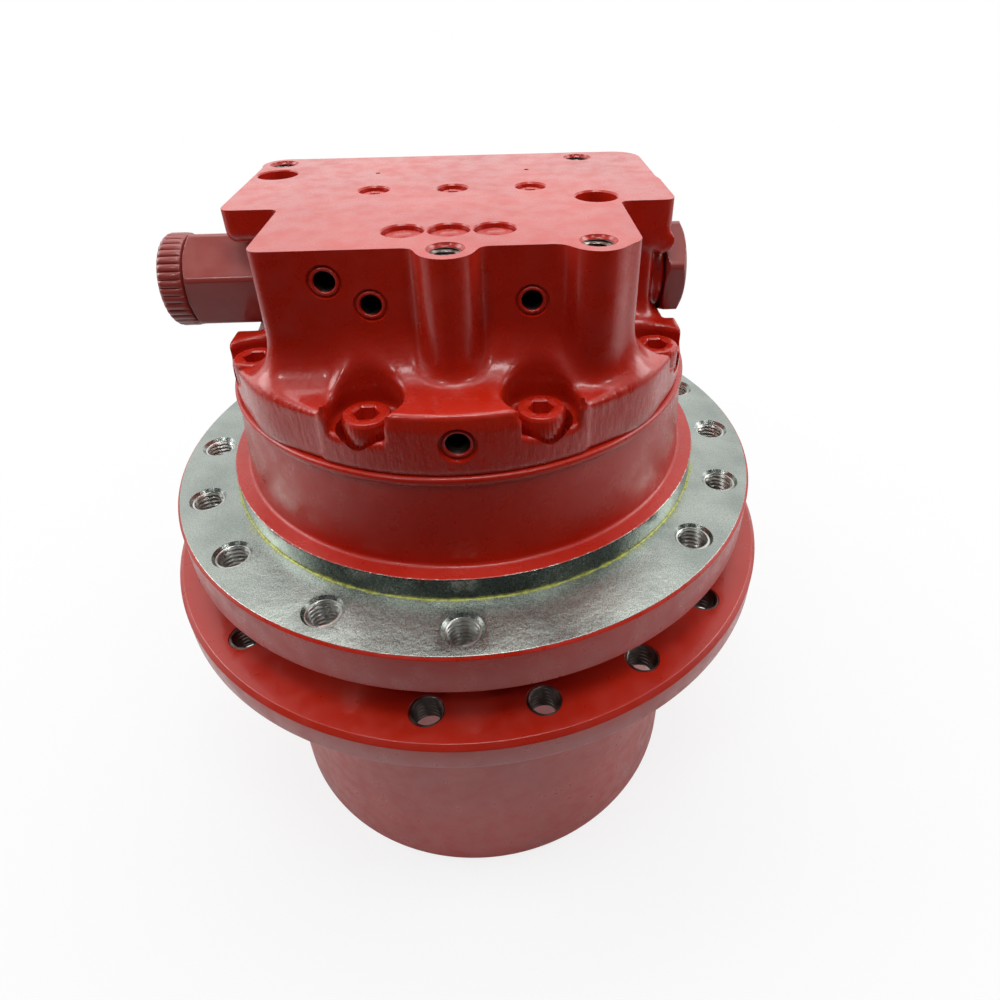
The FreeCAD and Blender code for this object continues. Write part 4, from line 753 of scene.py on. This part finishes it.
@dataclass
class MotorCasing:
    """The cast casing with its manifold face, ports, screw pockets and bores."""

    enamel: Material
    thread_steel: Material
    # near-black steel for the ports' threads: real tapped steel, darkened as painted shade inside the ports
    port_steel_painted_shade: Material
    step: float = 0.85
    flange_r: float = 72.3
    flange_low: float = 36.6
    flange_high: float = 51.5
    flange_edge: float = 1.3
    land_high: float = 54.5
    land_half_degrees: float = 28.0
    block: Tuple[float, float, float, float] = (-48.5, 48.4, -48.6, 41.0)
    ears: Tuple[float, float, float, float] = (-65.5, 64.0, -12.6, 49.5)
    ear_thickness: float = 10.0
    ear_corner_r: float = 9.0
    right_ear_depth: float = 16.0
    stock: float = 12.0
    hexagon_room_r: float = 16.2
    pocket_r: float = 9.8
    threads: Tuple[Point2, ...] = ((-59.2, 42.6), (42.3, 42.2), (0.0, -49.6), (37.4, -46.7))
    front_post_radii: Point2 = (7.6, 8.0)
    holes: Tuple[PlainHole, ...] = (
        PlainHole(6.1, 17.0, 0.5, 6.7, 0.1, 56, ((42.3, -7.4),)),
        PlainHole(6.4, 14.0, 0.4, 6.9, 0.1, 56, ((-58.0, 27.7),)),
        PlainHole(4.55, 9.2, 0.5, 5.1, 0.05, 48, SOCKET_PLUG_PLACES),
        PlainHole(5.45, 4.3, 0.4, 5.85, 0.05, 48, DISC_PLUG_PLACES),
        PlainHole(0.8, 3.0, 0.5, 0.8, 0.0, 20, ((-25.0, 26.3), (23.7, 26.3))),
    )
    front_ports: Tuple[Point2, ...] = ((-30.5, 80.0), (-19.8, 73.5), (21.0, 73.5))
    drain_port: Point2 = (1.0, 46.0)
    bead_r: float = 0.52

    def flange_field(self, field: CastField, high: float, sector: bool) -> np.ndarray:
        """Distance to the round flange, or to its raised front land where sector is set."""
        across = np.sqrt(field.x ** 2 + field.y ** 2)
        edge = self.flange_edge
        out = across - (self.flange_r - edge)
        along = np.abs(field.z - (self.flange_low + high) / 2) - ((high - self.flange_low) / 2 - edge)
        if sector:
            turn = np.abs(np.arctan2(field.x, -field.y)) - math.radians(self.land_half_degrees)
            out = np.maximum(out, turn * across + edge)
        return field.rimmed(out, along, edge)

    def add_ears(self, f: CastField) -> None:
        """Join the plate under the manifold face and the deeper rolled ear on the right."""
        left, right, front, back = self.ears
        tall = MANIFOLD_Z + self.stock
        plate = f.rounded_box((left, front, MANIFOLD_Z - self.ear_thickness), (right, back, tall), 3.4)
        reach = self.ear_corner_r
        corner = np.sqrt(np.maximum(np.abs(f.x - (left + right) / 2) - ((right - left) / 2 - reach), 0.0) ** 2
                         + np.maximum(f.y - (back - reach), 0.0) ** 2) - reach
        f.join(np.maximum(plate, corner), 3.0)
        low = MANIFOLD_Z - self.right_ear_depth
        f.join(f.rounded_box((40.0, front, low + 2.0), (right, 12.0, tall), 2.0), 2.5)
        roll = np.sqrt((f.x - (right - 1.9)) ** 2 + (f.z - (low + 3.5)) ** 2) - 3.5
        f.join(np.maximum(roll, np.abs(f.y - (front + 12.0) / 2) - (12.0 - front) / 2), 1.2)

    def cast_skin(self) -> Mesh:
        """The raw casting before any machining."""
        f = CastField((-69.0, -75.0, 34.0), (69.0, 75.0, 92.0), self.step)
        left, right, front, back = self.block
        tall = MANIFOLD_Z + self.stock
        f.join(self.flange_field(f, self.flange_high, False))
        f.join(self.flange_field(f, self.land_high, True), 2.0)
        f.join(f.rounded_box((left, front, 40.0), (right, back, tall), 3.5), 15.0)
        for (x, y), radius in zip(self.threads[2:], self.front_post_radii):
            f.join(f.post(x, y, radius, 50.0, tall, 1.0), 3.5)
        f.join(f.barrel(17.0, LEFT_BOSS_X, 0.0, 1.2), 7.0)
        f.join(f.rounded_box((0.0, self.ears[2], 44.0), (60.0, 19.0, 80.0), 2.5), 6.0)
        for turn in np.radians(SCREW_DEGREES):
            f.cut(f.post(SCREW_CIRCLE * math.cos(turn), SCREW_CIRCLE * math.sin(turn),
                         self.pocket_r, 46.0, 79.5, 1.6), 1.6)
        self.add_ears(f)
        f.join(f.barrel(12.5, 40.0, RIGHT_BOSS_X, 0.6), 1.5)
        for x, y in self.threads[:2]:
            f.join(f.post(x, y, 6.3, 72.0, tall, 2.0), 3.0)
        for low_x, high_x in ((-90.0, LEFT_BOSS_X), (RIGHT_BOSS_X, 90.0)):
            f.cut(np.maximum(f.barrel(19.0, low_x, high_x, 0.5), f.z - 71.0), 1.0)
        f.cut(f.barrel(self.hexagon_room_r, RIGHT_BOSS_X, 90.0, 0.3), 0.4)
        return new_mesh("cast_skin", *f.skin())

    def face_mills(self) -> List[Surface]:
        """The mills that face the casting's top and foot."""
        return [round_bar([(130.0, low), (130.0, high)], 8)
                for low, high in ((MANIFOLD_Z, MANIFOLD_Z + 20.0), (20.0, self.flange_low))]

    def upright_tools(self) -> List[Surface]:
        """Every drill and counterbore along the drive's axis."""
        top, foot = MANIFOLD_Z, self.flange_low - 1.0
        tools = [round_bar([(16.0, foot), (16.0, 46.2)], 64)]
        tapped = [(4.05, top - 14.0), (4.05, top - 0.9), (4.75, top - 0.2), (4.95, top + 1.0)]
        tools += copies_at(round_bar(tapped, 48), self.threads)
        for hole in self.holes:
            tools += hole.tools()
        spot = round_bar([(4.5, foot), (4.5, 42.0), (7.0, 42.0), (8.4, 46.0), (8.6, 47.5)], 56)
        return tools + copies_round(spot, SCREW_CIRCLE, SCREW_DEGREES)

    def side_tools(self) -> List[Surface]:
        """The ports in the front wall, the drain port in the rim and the spool's bore."""
        tools = [round_bar([(3.05, -12.0), (3.05, -0.8), (4.2, -0.7), (4.55, 0.2), (4.55, 3.0)],
                           48, Axis.FRONT, (x, self.block[2], z)) for x, z in self.front_ports]
        x, z = self.drain_port
        tools.append(round_bar([(3.45, -12.0), (3.45, -1.0), (4.7, -0.9), (5.1, 0.2), (5.1, 3.0)],
                               48, Axis.FRONT, (x, -self.flange_r + 0.2, z)))
        low, high, depth = LEFT_BOSS_X - 1.0, RIGHT_BOSS_X + 1.0, 13.0
        tools.append(round_bar([(11.0, low), (11.0, low + depth), (8.05, low + depth), (8.05, high - depth),
                                (11.0, high - depth), (11.0, high)], 56, Axis.RIGHT, (0.0, SPOOL_Y, SPOOL_Z)))
        return tools

    def bead(self, radius: float, at: Point3) -> Surface:
        """A rounded ring round a port's mouth."""
        turn = angles(14)[:, None]
        ones = np.ones((1, 48))
        verts, quads = ring_surface((radius + self.bead_r * np.cos(turn)) * ones,
                                    self.bead_r * np.sin(turn) * ones, True)
        return laid(verts, Axis.FRONT, at), quads

    def add_fittings(self) -> None:
        """Make the ports' beads, the manifold's threads and the ports' threads, their steel darkened to
        near-black as painted shade inside the ports.
        """
        front = self.block[2]
        x, z = self.drain_port
        beads = [self.bead(3.22, (port_x, front + 0.62, port_z)) for port_x, port_z in self.front_ports]
        beads.append(self.bead(3.64, (x, -self.flange_r + 1.0, z)))
        add_piece("port_beads", new_mesh("port_beads", *joined(beads)), self.enamel, Body.FRAME)
        liner = ThreadLiner(crest=3.4, root=3.98, wall=4.1, pitch=1.25)
        parts = copies_at(liner.surface(MANIFOLD_Z - 14.2, MANIFOLD_Z - 1.0), self.threads)
        add_piece("manifold_threads", new_mesh("manifold_threads", *joined(parts)), self.thread_steel,
                  Body.FRAME)
        # the ports' thread sleeves carry the near-black steel that paints shade into the ports' insides
        sleeves = []
        places = [(2.7, (port_x, front, port_z)) for port_x, port_z in self.front_ports]
        for radius, place in places + [(3.1, (x, -self.flange_r, z))]:
            sleeve = ThreadLiner(crest=radius, root=radius + 0.32, wall=radius + 0.42, pitch=1.0)
            verts, quads = sleeve.surface(-11.8, -1.1)
            sleeves.append((laid(verts, Axis.FRONT, place), quads))
        add_piece("port_threads", new_mesh("port_threads", *joined(sleeves)), self.port_steel_painted_shade,
                  Body.FRAME, 60.0)

    def build(self) -> None:
        """Make the casing, the beads of its ports and the threads of its tapped holes."""
        mesh = self.cast_skin()
        for tools in (self.face_mills(), self.upright_tools(), self.side_tools()):
            mesh = carved(mesh, joined(tools), "casing_casting")
        casing = add_piece("casing_casting", mesh, self.enamel, Body.FRAME)
        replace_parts(casing, "motor_casing")
        self.add_fittings()


@dataclass
class CasingScrews:
    """Seven socket head screws with knurled heads."""

    steel: Material
    head_r: float = 6.5
    seat_z: float = 42.0
    head_h: float = 8.0
    socket_flats: float = 6.0
    socket_depth: float = 4.0
    shank_r: float = 4.0
    shank_length: float = 24.0
    knurls: int = 36
    knurl_depth: float = 0.09

    def surface(self) -> Surface:
        """One screw, from the bottom of its socket over the head down to the shank's end.

        The head's side is r - d |cos(n a / 2)|, with r its radius, d the knurl's depth, n the
        number of knurls and a the angle.

        Returns:
            Vertices and quads.
        """
        around = self.knurls * 4
        angle = angles(around)
        hexagon = hexagon_radius(self.socket_flats, angle)
        side = self.head_r - 0.02 - self.knurl_depth * np.abs(np.cos(angle * self.knurls / 2.0))
        top, seat, head = self.seat_z + self.head_h, self.seat_z, self.head_r
        return revolved([
            (0.0, top - self.socket_depth), (hexagon, top - self.socket_depth + 0.1), (hexagon, top - 0.35),
            (3.75, top), (head - 1.0, top), (head - 0.55, top - 0.18), (head - 0.3, top - 0.6),
            (side, top - 1.0), (side, seat + 1.0), (head - 0.3, seat + 0.6), (head - 0.3, seat + 0.02),
            (self.shank_r, seat + 0.02), (self.shank_r - 0.04, seat - self.shank_length),
            (0.0, seat - self.shank_length)], around)

    def build(self) -> None:
        """Make all seven as one piece."""
        mesh = new_mesh("screws", *joined(copies_round(self.surface(), SCREW_CIRCLE, SCREW_DEGREES)))
        piece = add_piece("socket_head_screws", mesh, self.steel, Body.FRAME, 32.0)
        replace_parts(piece, "casing_screws")


@dataclass
class ValvePlugs:
    """The hexagon plugs at the ends of the spool's bore and the fluted cap."""

    enamel: Material
    across_flats: float = 27.0
    turn_degrees: float = 71.0
    corner_round: float = 0.35
    corner_cone_degrees: float = 30.0
    left_length: float = 24.0
    left_wall: float = 8.0
    right_length: float = 6.4
    thread_length: float = 12.0
    thread_r: float = 10.95
    bore_r: float = 7.0
    around: int = 240
    cap_r: float = 14.4
    cap_length: float = 8.4
    flutes: int = 36
    flute_depth: float = 0.7

    def hexagon(self, mirrored: bool) -> np.ndarray:
        """Radius of the hexagon at each angle, its corners rounded off."""
        turn = math.radians(self.turn_degrees) * (-1.0 if mirrored else 1.0)
        corner = self.across_flats / math.sqrt(3.0) - self.corner_round
        return np.minimum(hexagon_radius(self.across_flats, angles(self.around) - turn), corner)

    def plug(self, length: float, outer_wall: float, mirrored: bool) -> Surface:
        """A hexagon plug on its thread, standing on the casing's face.

        The radius is the smaller of the hexagon's and of a cone that turns the corners off at both
        ends, flat + start + rim / tan(cone angle).

        Args:
            length: height of the hexagon.
            outer_wall: thickness left at the outer end of the bore.
            mirrored: whether the plug points to the left.

        Returns:
            Vertices and quads.
        """
        shape = self.hexagon(mirrored)
        slope = math.tan(math.radians(self.corner_cone_degrees))
        corner = self.across_flats / math.sqrt(3.0)
        flat = self.across_flats / 2.0
        rows = [(0.0, length - outer_wall), (self.bore_r, length - outer_wall),
                (self.bore_r, -self.thread_length), (self.thread_r, -self.thread_length),
                (self.thread_r, 0.02)]
        for rise in np.concatenate([np.linspace(0.02, 1.5, 6), np.linspace(length - 1.9, length, 8)]):
            start = 0.2 if rise < length / 2.0 else -0.5
            cone = flat + start + min(rise, length - rise) / slope
            rows.append((np.minimum(np.minimum(shape, cone), corner), float(rise)))
        return revolved(rows + [(flat - 1.2, length), (0.0, length)], self.around)

    def cap(self) -> Surface:
        """The fluted cap with a chamfered, slightly domed end.

        The side's radius is the cap's less the depth of rounded flutes, which fade out over the
        last two millimetres at each end.

        Returns:
            Vertices and quads.
        """
        around = self.flutes * 12
        wave = np.abs(np.sin(angles(around) * self.flutes / 2.0)) ** 0.45
        flute = self.flute_depth * (1.0 - wave)
        r, end = self.cap_r, self.cap_length
        return revolved([
            (0.0, 0.02), (r - 1.2, 0.02), (r - 0.5, 0.35), (r - 0.1 - flute * 0.7, 1.0),
            (r - 0.02 - flute, 1.8), (r - 0.02 - flute, end - 2.2), (r - 0.2 - flute * 0.95, end - 1.7),
            (r - 0.7 - flute * 0.55, end - 1.1), (r - 1.6, end - 0.7), (r - 3.0, end - 0.45),
            (r - 4.6, end - 0.35), (r - 8.0, end - 0.12), (0.0, end - 0.05)], around)

    def build(self) -> None:
        """Make both plugs and the cap."""
        for name, node, slot, part, axis, x in (
                ("long_plug", "left_valve_plug", "bare_steel",
                 self.plug(self.left_length, self.left_wall, True), Axis.LEFT, LEFT_BOSS_X),
                ("short_plug", "right_valve_plug", "bare_steel",
                 self.plug(self.right_length, self.right_length, False), Axis.RIGHT, RIGHT_BOSS_X),
                ("fluted_cap", "left_plug_cap", "red_paint",
                 self.cap(), Axis.LEFT, LEFT_BOSS_X - self.left_length)):
            verts, quads = part
            mesh = new_mesh(name, laid(verts, axis, (x, SPOOL_Y, SPOOL_Z)), quads)
            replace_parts(add_piece(name, mesh, self.enamel, Body.FRAME, 28.0), node)


@dataclass
class TopPlugs:
    """Socket plugs and pressed disc plugs of the manifold face."""

    finish: Material
    socket_flats: float = 4.0
    socket_sunk: float = 1.2
    disc_sunk: float = 1.3

    def socket_plug(self) -> Surface:
        """A screwed plug with a hexagon socket and a rounded rim."""
        around = 96
        socket = hexagon_radius(self.socket_flats, angles(around))
        top = MANIFOLD_Z - self.socket_sunk
        return revolved([
            (0.0, top - 4.0), (socket, top - 3.8), (socket, top - 0.3), (2.65, top), (3.7, top),
            (4.25, top - 0.25), (4.48, top - 0.8), (4.48, top - 8.0), (0.0, top - 8.0)], around)

    def disc_plug(self) -> Surface:
        """A pressed disc with a raised rim and a dished middle."""
        top = MANIFOLD_Z - self.disc_sunk
        return round_bar([(1.6, top - 0.9), (3.0, top - 0.82), (3.8, top - 0.5), (4.3, top - 0.06),
                          (4.7, top), (5.2, top - 0.12), (5.4, top - 0.4), (5.4, top - 3.0)], 72)

    def build(self) -> None:
        """Make both kinds."""
        for name, part, places, node, slot in (
                ("socket_plugs", self.socket_plug(), SOCKET_PLUG_PLACES, "top_socket_plugs", "dark_steel"),
                ("disc_plugs", self.disc_plug(), DISC_PLUG_PLACES, "top_disc_plugs", "zinc_steel")):
            mesh = new_mesh(name, *joined(copies_at(part, places)))
            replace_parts(add_piece(name, mesh, self.finish, Body.FRAME, 32.0), node)


FLANGE_LINER = ThreadLiner(crest=4.25, root=5.0, wall=5.1, pitch=1.5)


@dataclass
class SpindleHousing:
    """The standing housing with the bare frame flange and its tapped holes."""

    finish: Material
    thread_steel: Material
    bolt_circle: float = 90.5
    first_degree: float = -90.0
    bolt_offsets: Tuple[int, ...] = (0, -25, 50, -50, 70, -70, 90, -90, 110, -110, 130, -130, 155, -155, 180)
    thread_root: float = 5.05
    pin_circle: float = 39.0

    def outline(self) -> np.ndarray:
        """The closed outline of the wall, from the journal's end up the outside and down the bores."""
        return rounded_profile([
            (14.0, -72.0, 0.4), (50.5, -72.0, 0.8), (50.5, -63.0, 0.0), (52.0, -63.0, 0.4),
            (52.0, -31.0, 0.0),
            (57.0, -31.0, 0.8), (57.0, -7.5, 0.0), (70.5, -7.5, 0.0), (70.5, -14.0, 0.5), (100.0, -14.0, 0.9),
            (100.0, -0.8, 0.25), (99.2, 0.0, 0.25), (80.0, 0.0, 0.35), (80.0, 7.5, 0.5), (74.7, 7.5, 1.4),
            (72.95, 34.0, 0.5), (73.6, 34.5, 0.8), (73.6, 36.4, 1.0), (72.5, 36.6, 0.0), (60.0, 36.6, 0.0),
            (60.0, 6.0, 0.3), (46.0, 6.0, 0.3), (46.0, -28.0, 0.3), (22.0, -28.0, 0.0), (22.0, -42.0, 0.0),
            (20.0, -42.0, 0.0), (20.0, -50.0, 0.0), (14.0, -50.0, 0.0),
        ])

    def tools(self, degrees: Sequence[float]) -> List[Surface]:
        """Tapped holes of the flange, screw holes of the top and seats of the planet pins."""
        hole = round_bar([(self.thread_root, -15.0), (self.thread_root, -0.95), (5.95, 0.05), (6.0, 1.0)], 48)
        screw = round_bar([(4.0, 18.0), (4.0, 38.0)], 32)
        pin = round_bar([(9.0, -73.0), (9.0, -54.0)], 48)
        return (copies_round(hole, self.bolt_circle, degrees)
                + copies_round(screw, SCREW_CIRCLE, SCREW_DEGREES)
                + copies_round(pin, self.pin_circle, (0.0, 120.0, 240.0)))

    def build(self) -> None:
        """Make the housing and the threads of its flange."""
        degrees = [self.first_degree + offset for offset in self.bolt_offsets]
        blank = turned_blank("spindle_blank", self.outline())
        mesh = carved(blank, joined(self.tools(degrees)), "spindle_casting")
        piece = add_piece("spindle_casting", mesh, self.finish, Body.FRAME, 30.0)
        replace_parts(piece, "spindle_housing")
        parts = copies_round(FLANGE_LINER.surface(-13.9, -1.0), self.bolt_circle, degrees)
        add_piece("frame_threads", new_mesh("frame_threads", *joined(parts)), self.thread_steel, Body.FRAME,
                  60.0)


@dataclass
class HubHousing:
    """The turning gear case with the sprocket flange."""

    enamel: Material
    thread_steel: Material
    bolt_circle: float = 95.5
    groups: Tuple[float, ...] = (-57.0, 63.0, 183.0)
    per_group: int = 5
    pitch_degrees: float = 20.0

    def outline(self) -> np.ndarray:
        """The closed outline of the wall, down the outside and up the inside."""
        return rounded_profile([
            (70.5, -15.3, 0.4), (70.5, -23.6, 0.0), (58.0, -23.6, 0.0), (58.0, -31.0, 0.0),
            (68.0, -31.0, 0.0), (68.0, -45.0, 0.0), (63.5, -45.0, 0.0), (63.5, -49.0, 0.0),
            (68.0, -49.0, 0.0), (68.0, -63.0, 0.0), (70.0, -63.0, 0.0), (70.0, -130.0, 0.0),
            (72.0, -130.0, 0.0), (72.0, -139.0, 0.0), (73.6, -139.0, 0.0),
            (73.6, -141.0, 0.0), (72.0, -141.0, 0.0), (72.0, -142.0, 0.3), (80.7, -142.0, 0.4),
            (82.3, -140.4, 0.6), (82.3, -37.5, 2.0), (107.0, -37.5, 0.9), (107.0, -29.4, 0.5),
            (105.6, -28.0, 0.5), (78.0, -28.0, 2.2), (78.0, -15.3, 0.8),
        ])[::-1]

    def degrees(self) -> List[float]:
        """Angles of the tapped holes."""
        middle = (self.per_group - 1) / 2.0
        return [group + (hole - middle) * self.pitch_degrees for group in self.groups
                for hole in range(self.per_group)]

    def build(self) -> None:
        """Make the hub and the threads of its flange."""
        hole = round_bar([(5.05, -39.0), (5.05, -28.4), (5.35, -27.95), (5.4, -27.0)], 48)
        tools = copies_round(hole, self.bolt_circle, self.degrees())
        mesh = carved(turned_blank("hub_blank", self.outline()), joined(tools), "hub_casting")
        piece = add_piece("hub_casting", mesh, self.enamel, Body.HUB, 30.0)
        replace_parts(piece, "hub_housing", "sprocket_flange", "hub_seal_collar")
        parts = copies_round(FLANGE_LINER.surface(-37.4, -28.3), self.bolt_circle, self.degrees())
        add_piece("sprocket_threads", new_mesh("sprocket_threads", *joined(parts)), self.thread_steel,
                  Body.HUB, 60.0)


@dataclass
class InnerWorks:
    """Finishes for the pieces whose CAD shape stays as it is."""

    finishes: Dict[str, Material]
    enamelled: Tuple[str, ...] = ("end_cover", "cover_plugs")

    def dress(self) -> None:
        """Give every carried-over node the finish of its slot."""
        slots = {row["node"]: row["material_slot"] for row in frame["record"]["subparts"]}
        for node, thing in frame["nodes"].items():
            slot = "red_paint" if node in self.enamelled else slots[node]
            material = self.finishes[slot]
            if not thing.material_slots:
                thing.data.materials.append(material)
            for place in thing.material_slots:
                place.material = material
            LOG.info("%s: %s", node, slot)



@dataclass(frozen=True)
class Lamp:
    """One soft lamp: its place, the point it looks at, its size and its power in watts."""

    name: str
    at: Point3
    aim: Point3
    wide: float
    deep: float
    watts: float

    def hang(self) -> None:
        """Put the lamp in the scene."""
        data = bpy.data.lights.new(self.name, "AREA")
        data.shape = "RECTANGLE"
        data.size = self.wide * MM
        data.size_y = self.deep * MM
        data.energy = self.watts
        lamp = bpy.data.objects.new(self.name, data)
        bpy.context.scene.collection.objects.link(lamp)
        lamp.location = Vector(self.at) * MM
        lamp.rotation_euler = (Vector(self.aim) - Vector(self.at)).to_track_quat("-Z", "Y").to_euler()


@dataclass
class Studio:
    """Pale floor, white surroundings and soft lamps.

    The places where brightness changes, here and in the nodes, are metres or parts of a direction.
    """

    floor_z: float = -142.0
    floor_reach: float = 3000.0
    floor_tone: float = 0.86
    gloss: Point2 = (0.05, 1.25)
    matt_share: float = 0.35
    matt_least: float = 0.06
    lamps: Tuple[Lamp, ...] = (
        Lamp("overhead", (-40.0, 220.0, 760.0), (0.0, 0.0, 60.0), 640.0, 420.0, 1.9),
        Lamp("front_top", (20.0, -230.0, 720.0), (0.0, 0.0, 20.0), 320.0, 180.0, 1.6),
        Lamp("left_box", (-640.0, 60.0, 420.0), (0.0, 0.0, 20.0), 380.0, 420.0, 2.2),
        Lamp("right_box", (660.0, 60.0, 400.0), (0.0, 0.0, 10.0), 360.0, 420.0, 2.0),
        Lamp("front_left", (-300.0, -420.0, 560.0), (0.0, -40.0, 40.0), 80.0, 80.0, 0.50),
        Lamp("front_right", (330.0, -400.0, 560.0), (0.0, -40.0, 40.0), 80.0, 80.0, 0.40),
    )

    def surroundings(self) -> None:
        """White to the camera, and for gloss bright above and behind and dim in front."""
        world = bpy.data.worlds.new("studio")
        bpy.context.scene.world = world
        world.use_nodes = True
        desk = NodeDesk(world.node_tree)
        gloss = desk.ease(desk.parts(desk.where("Generated"))[1], -0.45, 0.45, *self.gloss)
        matt = desk.sum_of("MULTIPLY_ADD", gloss, self.matt_share, self.matt_least)
        light = desk.node("Background")
        desk.feed(light.inputs["Color"], (1.0, 1.0, 1.0))
        unseen = desk.between(desk.ray("Glossy"), matt, gloss)
        desk.feed(light.inputs["Strength"], desk.between(desk.seen(), unseen, 1.0))
        desk.feed(desk.node("OutputWorld").inputs["Surface"], light.outputs[0])

    def floor_finish(self) -> Material:
        """Pale and softly shaded near the drive, plain white farther off, and dark to gloss in front."""
        material = bpy.data.materials.new("pale_floor")
        material.use_nodes = True
        desk = NodeDesk(material.node_tree)
        place = desk.where("Object")
        lit = desk.ease(desk.parts(place)[1], -0.34, -0.14, 0.03, 0.80)
        matt = desk.node("BsdfDiffuse")
        desk.feed(matt.inputs["Color"], desk.between(desk.ray("Camera"), lit, self.floor_tone))
        length = desk.node("VectorMath")
        length.operation = "LENGTH"
        desk.feed(length.inputs[0], place)
        far = desk.ease(length.outputs["Value"], 0.16, 0.40, 0.80, 1.0)
        mix = desk.node("MixShader")
        for socket, value in zip(mix.inputs, (desk.times(desk.seen(), far), matt.outputs[0],
                                              desk.node("Emission").outputs[0])):
            desk.feed(socket, value)
        desk.feed(desk.node("OutputMaterial").inputs["Surface"], mix.outputs[0])
        return material

    def floor(self) -> None:
        """A wide pale floor that keeps a soft shadow."""
        reach = np.array([-self.floor_reach, self.floor_reach])
        x, y = np.meshgrid(reach, reach, indexing="ij")
        verts = np.stack([x.ravel(), y.ravel(), np.full(4, self.floor_z)], axis=-1)
        mesh = new_mesh("studio_floor", verts, np.array([[0, 2, 3, 1]]))
        mesh.materials.append(self.floor_finish())
        floor = bpy.data.objects.new("studio_floor", mesh)
        bpy.context.scene.collection.objects.link(floor)

    def build(self) -> None:
        """Set up the floor, the surroundings and the lamps."""
        self.floor()
        self.surroundings()
        for lamp in self.lamps:
            lamp.hang()

@dataclass
class PhotographCamera:
    """The camera at the photograph's place and angle."""

    place: Point3 = (10.53, -215.23, 144.13)
    right: Point3 = (0.99899, -0.04295, -0.01422)
    up: Point3 = (0.03603, 0.56523, 0.82415)
    forward: Point3 = (0.02736, 0.82382, -0.56620)
    lens: float = 25.196
    shift: Point2 = (-0.01539, -0.05583)

    def build(self) -> None:
        """Put the camera in the scene."""
        data = bpy.data.cameras.new("photograph")
        data.lens = self.lens
        data.sensor_width = 36.0
        data.sensor_fit = "HORIZONTAL"
        data.shift_x, data.shift_y = self.shift
        data.clip_start = 0.005
        data.clip_end = 50.0
        camera = bpy.data.objects.new("photograph", data)
        bpy.context.scene.collection.objects.link(camera)
        columns = [Vector(self.right), Vector(self.up), -Vector(self.forward)]
        turn = Matrix([[column[row] for column in columns] for row in range(3)]).to_4x4()
        camera.matrix_world = Matrix.Translation(Vector(self.place) * MM) @ turn
        bpy.context.scene.camera = camera


def inner_finishes(enamel: Material) -> Dict[str, Material]:
    """The finish of each of the record's slots."""
    metals = {
        "bare_steel": Metal("turned_steel", (0.52, 0.53, 0.51), (0.36, 0.37, 0.34), 0.34),
        "dark_steel": Metal("blackened_steel", (0.09, 0.09, 0.095), (0.05, 0.05, 0.05), 0.42),
        "zinc_steel": Metal("zinc_plate", (0.60, 0.58, 0.48), (0.45, 0.42, 0.30), 0.36),
        "bearing_steel": Metal("ground_steel", (0.66, 0.67, 0.68), (0.52, 0.53, 0.53), 0.18,
                               mark_depth=0.002),
        "gear_steel": Metal("gear_steel", (0.42, 0.43, 0.44), (0.27, 0.27, 0.26), 0.36),
        "spring_steel": Metal("spring_steel", (0.22, 0.22, 0.23), (0.12, 0.12, 0.12), 0.38),
        "bronze": Metal("bearing_bronze", (0.60, 0.36, 0.12), (0.42, 0.23, 0.08), 0.34),
        "friction_lining": Metal("brake_lining", (0.15, 0.11, 0.075), (0.09, 0.07, 0.05), 0.85, 0.0),
        "seal_iron": Metal("seal_iron", (0.28, 0.28, 0.29), (0.18, 0.18, 0.18), 0.28, mark_depth=0.002),
        "rubber": Metal("seal_rubber", (0.028, 0.028, 0.028), (0.018, 0.018, 0.018), 0.62, 0.0),
    }
    finishes = {slot: metal.dress() for slot, metal in metals.items()}
    finishes["red_paint"] = enamel
    return finishes


def main() -> None:
    """Build the classes in order and report each piece."""
    logging.basicConfig(level=logging.INFO, format="%(name)s %(message)s")
    bpy.context.scene.view_settings.view_transform = "Standard"
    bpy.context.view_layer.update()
    cast = Enamel("casing_enamel", faced_z=88.0, rim_r=72.3).dress()
    fine = Enamel("fitting_enamel", cast_depth=0.03, roughness=0.26).dress()
    plug = Enamel("plug_enamel", lit=(0.32, 0.046, 0.036), deep=(0.25, 0.032, 0.026), cast_depth=0.05,
                  roughness=0.36).dress()
    turned = Enamel("hub_enamel", lit=(0.47, 0.0170, 0.0045), deep=(0.40, 0.0120, 0.0030), cast_depth=0.02,
                    roughness=0.34).dress()
    # near-black steel for the ports' threads: painted shade that darkens the ports' insides
    port_steel_painted_shade = Metal("port_steel_painted_shade", (0.10, 0.08, 0.07), (0.04, 0.03, 0.03), 0.45).dress()
    threads = Metal("bright_thread", (0.60, 0.60, 0.57), (0.30, 0.29, 0.26), 0.32).dress()
    dull_threads = Metal("stained_thread", (0.26, 0.23, 0.21), (0.12, 0.07, 0.06), 0.36).dress()
    InnerWorks(inner_finishes(fine)).dress()
    MotorCasing(cast, dull_threads, port_steel_painted_shade).build()
    CasingScrews(fine).build()
    ValvePlugs(plug).build()
    TopPlugs(fine).build()
    SpindleHousing(FlangeFinish().dress(), threads).build()
    HubHousing(turned, dull_threads).build()
    Studio().build()
    PhotographCamera().build()


if __name__ == "__main__":
    main()
